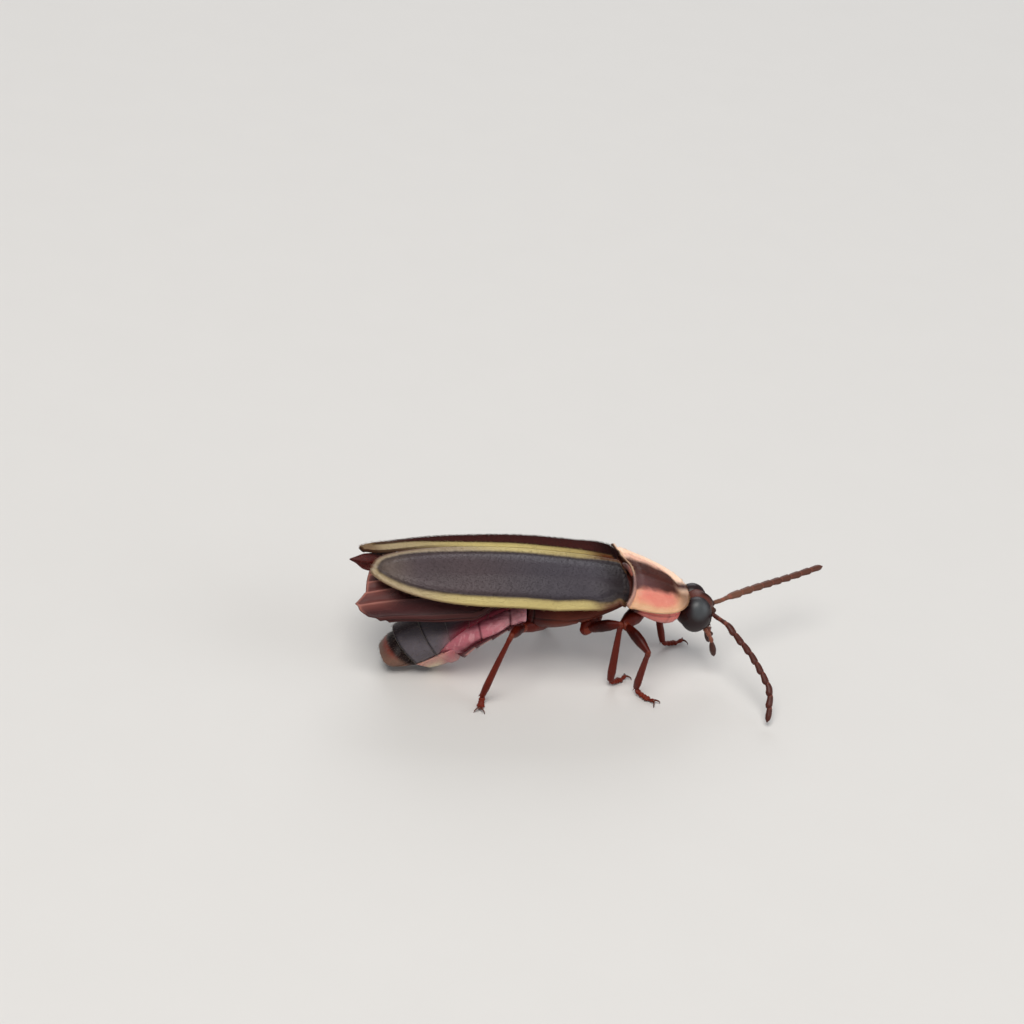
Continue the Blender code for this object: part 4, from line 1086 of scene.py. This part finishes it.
feeler_paint = Paint("feeler_shell", {"Roughness": 0.45, "Coat Weight": 0.05, "Coat Roughness": 0.4})
links = feeler_paint.mix(feeler_paint.noise(0.2, 3), tone(52, 18, 12), tone(84, 36, 26))
links = feeler_paint.mix(feeler_paint.value("light") * 0.5, links, tone(128, 88, 64))
links = feeler_paint.mix(feeler_paint.value("joint") * 0.4, links, tone(148, 78, 60))
feeler_paint.link("Base Color", links)
feeler_paint.relief(0.5 * feeler_paint.cells(0.03) + 0.5 * feeler_paint.noise(0.05, 2), 0.003)
feeler_down = Paint("feeler_down", {"Roughness": 0.5, "Specular IOR Level": 0.2})
feeler_down.link("Base Color", feeler_down.mix(feeler_down.noise(0.2, 2), tone(90, 46, 34), tone(130, 80, 60)))
feeler_coat = Shape()
for label, route in FEELER_ROUTES.items():
    path, shape = through(route, 400), Shape()
    for link in range(11):
        start, end = FEELER_LINKS[link], FEELER_LINKS[link + 1]
        spine = part_way(path, start + 0.003, end - 0.004, 22)
        run = np.linspace(0, 1, 22)
        if link < 2:
            radii = np.interp(run, [0, 0.25, 0.8, 1], [0.062, 0.082, 0.100, 0.085])
        else:
            radii = np.interp(run, [0, 0.15, 0.75, 0.93, 1], [0.088, 0.104, 0.124, 0.126, 0.108])
            radii = radii * (1.32 if label == "left" else 1.12) * (1 - 0.012 * (link - 2))
        if link == 10:
            radii = radii * np.interp(run, [0, 0.6, 0.85, 1], [1, 0.95, 0.7, 0.35])
        lean = np.array([0.3, 0.9, -0.3]) if label == "left" else np.array([0.9, 0.3, -0.2])
        spine = spine - lean * (0.060 * run ** 2 * (link > 1))[:, None]
        grid = limb(spine, radii, flat=0.82, around=20)
        joint = np.clip(np.concatenate([np.ones(4), 1 - ramp(run, 0.02, 0.16), np.zeros(4)]), 0, 1)
        olive = (1.0 if label == "left" else 0.0) * (0.35 + 0.65 * ramp(6 - link, 0, 5))
        shape.tube(grid, joint=joint[:, None], light=olive)
        coat(feeler_coat, grid[3:-2], 0.055, 0.075, (link / 11, 0.0 if label == "right" else 0.5, (link + 1) / 11,
             0.5 if label == "right" else 1.0), around=True, radius=0.004, lean=0.95)
        if link < 10:
            neck = part_way(path, end - 0.012, end + 0.014, 6)
            shape.tube(limb(neck - lean * (0.012 if link > 0 else 0), [0.082] * 6, rounding=0.3), joint=1.0, light=olive)
    feeler = shape.piece("feeler_" + label, feeler_paint)
    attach(feeler, "root")
    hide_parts("antenna_" + label)
made = feeler_coat.piece("feeler_hair", feeler_down)
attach(made, "root")


# Tasters. Two pairs of short jointed feelers under the mouth: pale stalks that
# end in a dark spindle, the outer pair long, the inner pair short.

taster_paint = Paint("taster_shell", {"Roughness": 0.40, "Coat Weight": 0.15, "Coat Roughness": 0.3})
stalk = taster_paint.mix(taster_paint.noise(0.15, 2), tone(118, 62, 46), tone(152, 92, 70))
stalk = taster_paint.mix(taster_paint.value("dark"), stalk,
                         taster_paint.mix(taster_paint.noise(0.1, 2), tone(44, 18, 14), tone(78, 40, 28)))
taster_paint.link("Base Color", stalk)
taster_paint.relief(taster_paint.noise(0.04, 2), 0.003)
for label, side in (("right", -1), ("left", 1)):
    shape = Shape()
    outer = through([(5.52, 0.30, 2.14), (5.78, 0.42, 1.80), (5.91, 0.47, 1.42), (6.03, 0.48, 1.00)], 120) * (1, side, 1)
    inner = through([(5.72, 0.12, 2.04), (5.80, 0.16, 1.90), (5.90, 0.18, 1.72)], 60) * (1, side, 1)
    for path, size, ends in ((outer, 1.0, (0.0, 0.14, 0.32, 0.50, 1.0)), (inner, 0.66, (0.0, 0.5, 1.0))):
        for link in range(len(ends) - 1):
            last = link == len(ends) - 2
            spine = part_way(path, ends[link] + 0.01, ends[link + 1] - 0.01, 16)
            keys = [0.07, 0.115, 0.130, 0.095, 0.02] if last else [0.06, 0.080, 0.090, 0.085, 0.07]
            radii = np.interp(np.linspace(0, 1, 16), [0, 0.25, 0.55, 0.85, 1], keys) * size
            shape.tube(limb(spine, radii, around=18), dark=1.0 if last else 0.12 * link)
    taster = shape.piece("tasters_" + label, taster_paint)
    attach(taster, "root")
    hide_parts("palp_" + label)


# Legs. Six slender legs of red-brown shell, each with a stout hip, a short pale
# ring, a thigh, a shin with two spurs and a five-linked foot that ends in a pair
# of claws; fine stiff hairs point down every one of them.

LEG_POINTS = {
    # hip, end of the hip, knee, ankle, toe
    "front_right": [(2.87, -0.62, 2.95), (2.22, -1.22, 2.82), (2.94, -2.52, 2.42), (2.94, -1.65, 0.34), (3.62, -2.36, 0.0)],
    "middle_right": [(1.24, -0.72, 2.86), (0.79, -1.20, 2.48), (1.93, -1.80, 3.15), (2.05, -1.16, 0.34), (2.84, -0.56, 0.0)],
    "hind_right": [(-0.45, -0.55, 2.50), (-1.52, -1.28, 2.60), (-2.25, -2.80, 3.19), (-2.92, -2.38, 0.34), (-3.08, -3.00, 0.0)],
    "front_left": [(2.87, 0.62, 2.95), (3.02, 1.22, 2.50), (4.05, 2.40, 2.25), (4.54, 1.58, 0.34), (5.56, 1.98, 0.0)],
    "middle_left": [(1.24, 0.72, 2.86), (0.86, 1.20, 2.46), (0.60, 2.70, 2.98), (0.28, 3.10, 0.34), (-0.02, 4.02, 0.0)],
    "hind_left": [(-0.25, 0.55, 2.40), (-0.80, 1.02, 2.34), (-2.30, 2.52, 3.02), (-3.02, 2.74, 0.34), (-3.44, 3.62, 0.0)],
}
THIGH_BOW, SHIN_BOW = 0.06, 0.05
LEG_AROUND = 24

leg_paint = Paint("leg_shell", {"Coat Weight": 0.05, "Coat Roughness": 0.3, "Specular IOR Level": 0.12})
shell = leg_paint.mix(leg_paint.noise(0.4, 3), tone(82, 17, 8), tone(124, 38, 20))
shell = leg_paint.mix(leg_paint.value("deep") * 0.95, shell, tone(34, 3, 2))
shell = leg_paint.mix(leg_paint.value("light"), shell,
                      leg_paint.mix(leg_paint.noise(0.2, 2), tone(120, 54, 38), tone(148, 80, 58)))
leg_paint.link("Base Color", shell)
leg_paint.link("Roughness", 0.32 + 0.2 * leg_paint.noise(0.15, 2))
leg_paint.relief(0.5 * leg_paint.cells(0.04) + 0.5 * leg_paint.noise(0.08, 2), 0.004)
leg_down = Paint("leg_down", {"Roughness": 0.5, "Specular IOR Level": 0.2})
leg_down.link("Base Color", leg_down.mix(leg_down.noise(0.3, 2), tone(84, 22, 12), tone(120, 48, 30)))
claw_horn = Paint("claw_horn", {"Roughness": 0.22, "Coat Weight": 0.4, "Coat Roughness": 0.15})
claw_horn.link("Base Color", claw_horn.mix(claw_horn.noise(0.08, 2), tone(54, 20, 12), tone(96, 42, 22)))
claw_horn.relief(claw_horn.noise(0.03, 2), 0.002)


def bowed(start, end, bow, count):
    """Points from start to end, risen in the middle."""
    share = np.linspace(0, 1, count)[:, None]
    return blend(np.array(start), np.array(end), share) + np.array([0, 0, 1]) * bow * np.sin(math.pi * share)


def hairs(shape, grid, spacing, length, patch):
    coat(shape, grid, spacing, length, patch, around=True, radius=0.0045, lean=0.85)


coxa_coat, thigh_coat, shin_coat, foot_coat = Shape(), Shape(), Shape(), Shape()
claws = Shape()
for number, (label, (hip, knob, knee, ankle, toe)) in enumerate(LEG_POINTS.items()):
    low, high = number / 6, (number + 1) / 6
    hip, knob, knee, ankle, toe = (np.array(point) for point in (hip, knob, knee, ankle, toe))
    plane = unit(np.cross(knee - knob, ankle - knee))

    shape = Shape()
    spine = bowed(hip, knob, 0.02, 30)
    radii = np.interp(np.linspace(0, 1, 30), [0, 0.3, 0.7, 1], [0.28, 0.35, 0.31, 0.21])
    grid = limb(spine, radii, flat=0.85, side=plane, around=LEG_AROUND)
    shape.tube(grid, light=0.0, deep=0.4)
    hairs(coxa_coat, grid, 0.11, 0.09, (0.0, low, 1.0, high))
    ring = blend(knob, knee, np.linspace(-0.01, 0.13, 12)[:, None])
    radii = np.interp(np.linspace(0, 1, 12), [0, 0.4, 1], [0.16, 0.185, 0.15])
    shape.tube(limb(ring, radii, side=plane, around=LEG_AROUND), light=0.3, deep=0.3)
    coxa = shape.piece("hip_" + label, leg_paint)
    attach(coxa, "root")
    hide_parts("coxa_" + label)

    shape = Shape()
    spine = bowed(knob, knee, THIGH_BOW, 60)[6:]
    share = np.linspace(0, 1, 54)
    radii = np.interp(share, [0, 0.15, 0.40, 0.65, 0.90, 1], [0.12, 0.185, 0.235, 0.225, 0.150, 0.120])
    grid = limb(spine, radii, flat=0.82, side=plane, around=LEG_AROUND)
    rows = np.concatenate([np.zeros(4), share, np.ones(4)])[:, None]
    shape.tube(grid, light=ramp(rows, 0.97, 1.0) * 0.30 + (1 - ramp(rows, 0, 0.05)) * 0.25, deep=0.5 + 0.5 * hill(rows, 0.45, 0.4))
    hairs(thigh_coat, grid, 0.075, 0.10, (0.0, low, 1.0, high))
    thigh = shape.piece("thigh_" + label, leg_paint)
    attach(thigh, "root")
    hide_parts("femur_" + label)

    shape = Shape()
    spine = bowed(knee, ankle, SHIN_BOW, 70)
    share = np.linspace(0, 1, 70)
    radii = np.interp(share, [0, 0.05, 0.12, 0.5, 0.88, 1], [0.095, 0.120, 0.100, 0.130, 0.155, 0.125])
    grid = limb(spine, radii, flat=0.85, side=plane, around=LEG_AROUND)
    rows = np.concatenate([np.zeros(4), share, np.ones(4)])[:, None]
    shape.tube(grid, light=0.35 * (1 - ramp(rows, 0.0, 0.05)), deep=0.25)
    down = unit(ankle - knee)
    for turned in (-0.5, 0.5):
        spur = ankle + plane * turned * 0.16 - down * 0.02
        shape.tube(limb(spur + np.linspace(0, 1, 10)[:, None] * (down + plane * turned * 0.5) * 0.17,
                        np.linspace(0.024, 0.005, 10), around=10), light=0.3, deep=0.4)
    hairs(shin_coat, grid, 0.062, 0.11, (0.0, low, 1.0, high))
    shin = shape.piece("shin_" + label, leg_paint)
    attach(shin, "root")
    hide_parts("tibia_" + label)

    shape = Shape()
    ahead = unit((toe - ankle) * (1, 1, 0))
    across = np.array([-ahead[1], ahead[0], 0.0])
    reach = np.linalg.norm((toe - ankle)[:2])
    stations = [(0.0, 0.30), (0.12, 0.18), (0.34, 0.12), (0.56, 0.10), (0.70, 0.10), (0.84, 0.15)]
    foot = through([ankle * (1, 1, 0) + ahead * reach * share + np.array([0, 0, z]) for share, z in stations], 300)
    ends = (0.0, 0.24, 0.41, 0.55, 0.69, 1.0)
    for link in range(5):
        spine = part_way(foot, ends[link] + 0.005, ends[link + 1] - 0.005, 18)
        run = np.linspace(0, 1, 18)
        if link < 3:
            radii, flat = np.interp(run, [0, 0.3, 0.85, 1], [0.070, 0.095, 0.125, 0.105]), 0.75
        elif link == 3:
            radii, flat = np.interp(run, [0, 0.3, 0.8, 1], [0.075, 0.120, 0.160, 0.130]), 0.5
        else:
            radii, flat = np.interp(run, [0, 0.4, 0.85, 1], [0.055, 0.060, 0.085, 0.070]), 0.9
        grid = limb(spine, radii, flat=flat, side=(0, 0, 1), around=20)
        if link == 3:
            cleft = ramp((spine[[0] * 4 + list(range(18)) + [-1] * 4] - spine[0]) @ ahead, 0.06, 0.16)
            off = (grid - grid.mean(axis=1, keepdims=True)) @ across
            grid = grid - ahead * (cleft[:, None] * hill(off, 0, 0.035) * 0.11)[..., None]
        rows = np.concatenate([np.ones(4), 1 - ramp(run, 0.0, 0.12), np.zeros(4)])[:, None]
        shape.tube(grid, light=0.5 * rows + 0.12, deep=0.1)
        hairs(foot_coat, grid, 0.045, 0.07, (link / 5, low, (link + 1) / 5, high))
    end = foot[-1]
    for turned in (-1, 1):
        hook = [end, end + ahead * 0.07 + across * turned * 0.08 + np.array([0, 0, 0.01]),
                end + ahead * 0.15 + across * turned * 0.17 + np.array([0, 0, -0.05]),
                end + ahead * 0.17 + across * turned * 0.20 + np.array([0, 0, -0.135])]
        claws.tube(limb(through(hook, 20), np.linspace(0.050, 0.010, 20), around=12))
    tarsus = shape.piece("foot_" + label, leg_paint)
    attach(tarsus, "root")
    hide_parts("tarsus_" + label)
for name, shape in (("hip_hair", coxa_coat), ("thigh_hair", thigh_coat), ("shin_hair", shin_coat), ("foot_hair", foot_coat)):
    made = shape.piece(name, leg_down)
    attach(made, "root")
made = claws.piece("claws", claw_horn)
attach(made, "root")


# Stand and camera. A broad pale floor of matt card under soft studio lamps.

FLOOR_HALF = 3.0
bpy.ops.mesh.primitive_plane_add(size=2 * FLOOR_HALF, location=(0, 0, 0))
floor = bpy.context.object
floor.name = "floor"
card = Paint("pale_card", {"Roughness": 0.85, "Specular IOR Level": 0.2})
card.link("Base Color", card.mix(card.noise(3.0, 3), tone(208, 206, 203), tone(210, 208, 205)))
card.relief(card.noise(0.2, 3), 0.002)
floor.data.materials.append(card.material)


def lamp(name, place, aim, size, power, colour):
    """A square soft lamp turned towards a place; lengths in metres."""
    light = bpy.data.lights.new(name, "AREA")
    light.shape, light.size, light.energy, light.color = "SQUARE", size, power, colour
    made = bpy.data.objects.new(name, light)
    made.location = place
    made.rotation_euler = (Vector(aim) - Vector(place)).to_track_quat("-Z", "Y").to_euler()
    made.visible_camera = False
    bpy.context.scene.collection.objects.link(made)
    return made


CAMERA_PLACE = Vector((-20.67, -86.85, 57.19))
CAMERA_TURN, CAMERA_DROP, CAMERA_ROLL = math.radians(11.98), math.radians(29.63), math.radians(-7.70)

ahead = Vector((math.sin(CAMERA_TURN) * math.cos(CAMERA_DROP), math.cos(CAMERA_TURN) * math.cos(CAMERA_DROP),
                -math.sin(CAMERA_DROP)))
right = Vector((math.cos(CAMERA_TURN), -math.sin(CAMERA_TURN), 0))
above = right.cross(ahead)
right, above = (right * math.cos(CAMERA_ROLL) - above * math.sin(CAMERA_ROLL),
                right * math.sin(CAMERA_ROLL) + above * math.cos(CAMERA_ROLL))
camera_data = bpy.data.cameras.new("camera")
camera_data.sensor_width, camera_data.lens = 36.0, 99.8
camera_data.clip_start, camera_data.clip_end = 0.001, 10.0
camera = bpy.data.objects.new("camera", camera_data)
camera.matrix_world = (Matrix.Translation(CAMERA_PLACE * MM + SEAM_TO_ROW)
                       @ Matrix((right, above, -ahead)).transposed().to_4x4())
bpy.context.scene.collection.objects.link(camera)
bpy.context.scene.camera = camera

target = SEAM_TO_ROW + Vector((1.0, 0.0, 2.0)) * MM
lamp("key_lamp", target + Vector((-0.08, -0.20, 0.36)), target, 0.22, 1.5, (1.0, 0.97, 0.93))
lamp("fill_lamp", target + Vector((0.34, -0.16, 0.16)), target, 0.30, 0.5, (0.92, 0.96, 1.0))
lamp("back_lamp", target + Vector((0.05, 0.34, 0.24)), target, 0.25, 0.6, (0.95, 0.97, 1.0))
world = bpy.data.worlds.new("studio")
world.use_nodes = True
world.node_tree.nodes["Background"].inputs["Color"].default_value = tone(226, 228, 232)
world.node_tree.nodes["Background"].inputs["Strength"].default_value = 0.35
bpy.context.scene.world = world
bpy.context.scene.view_settings.view_transform = "Standard"
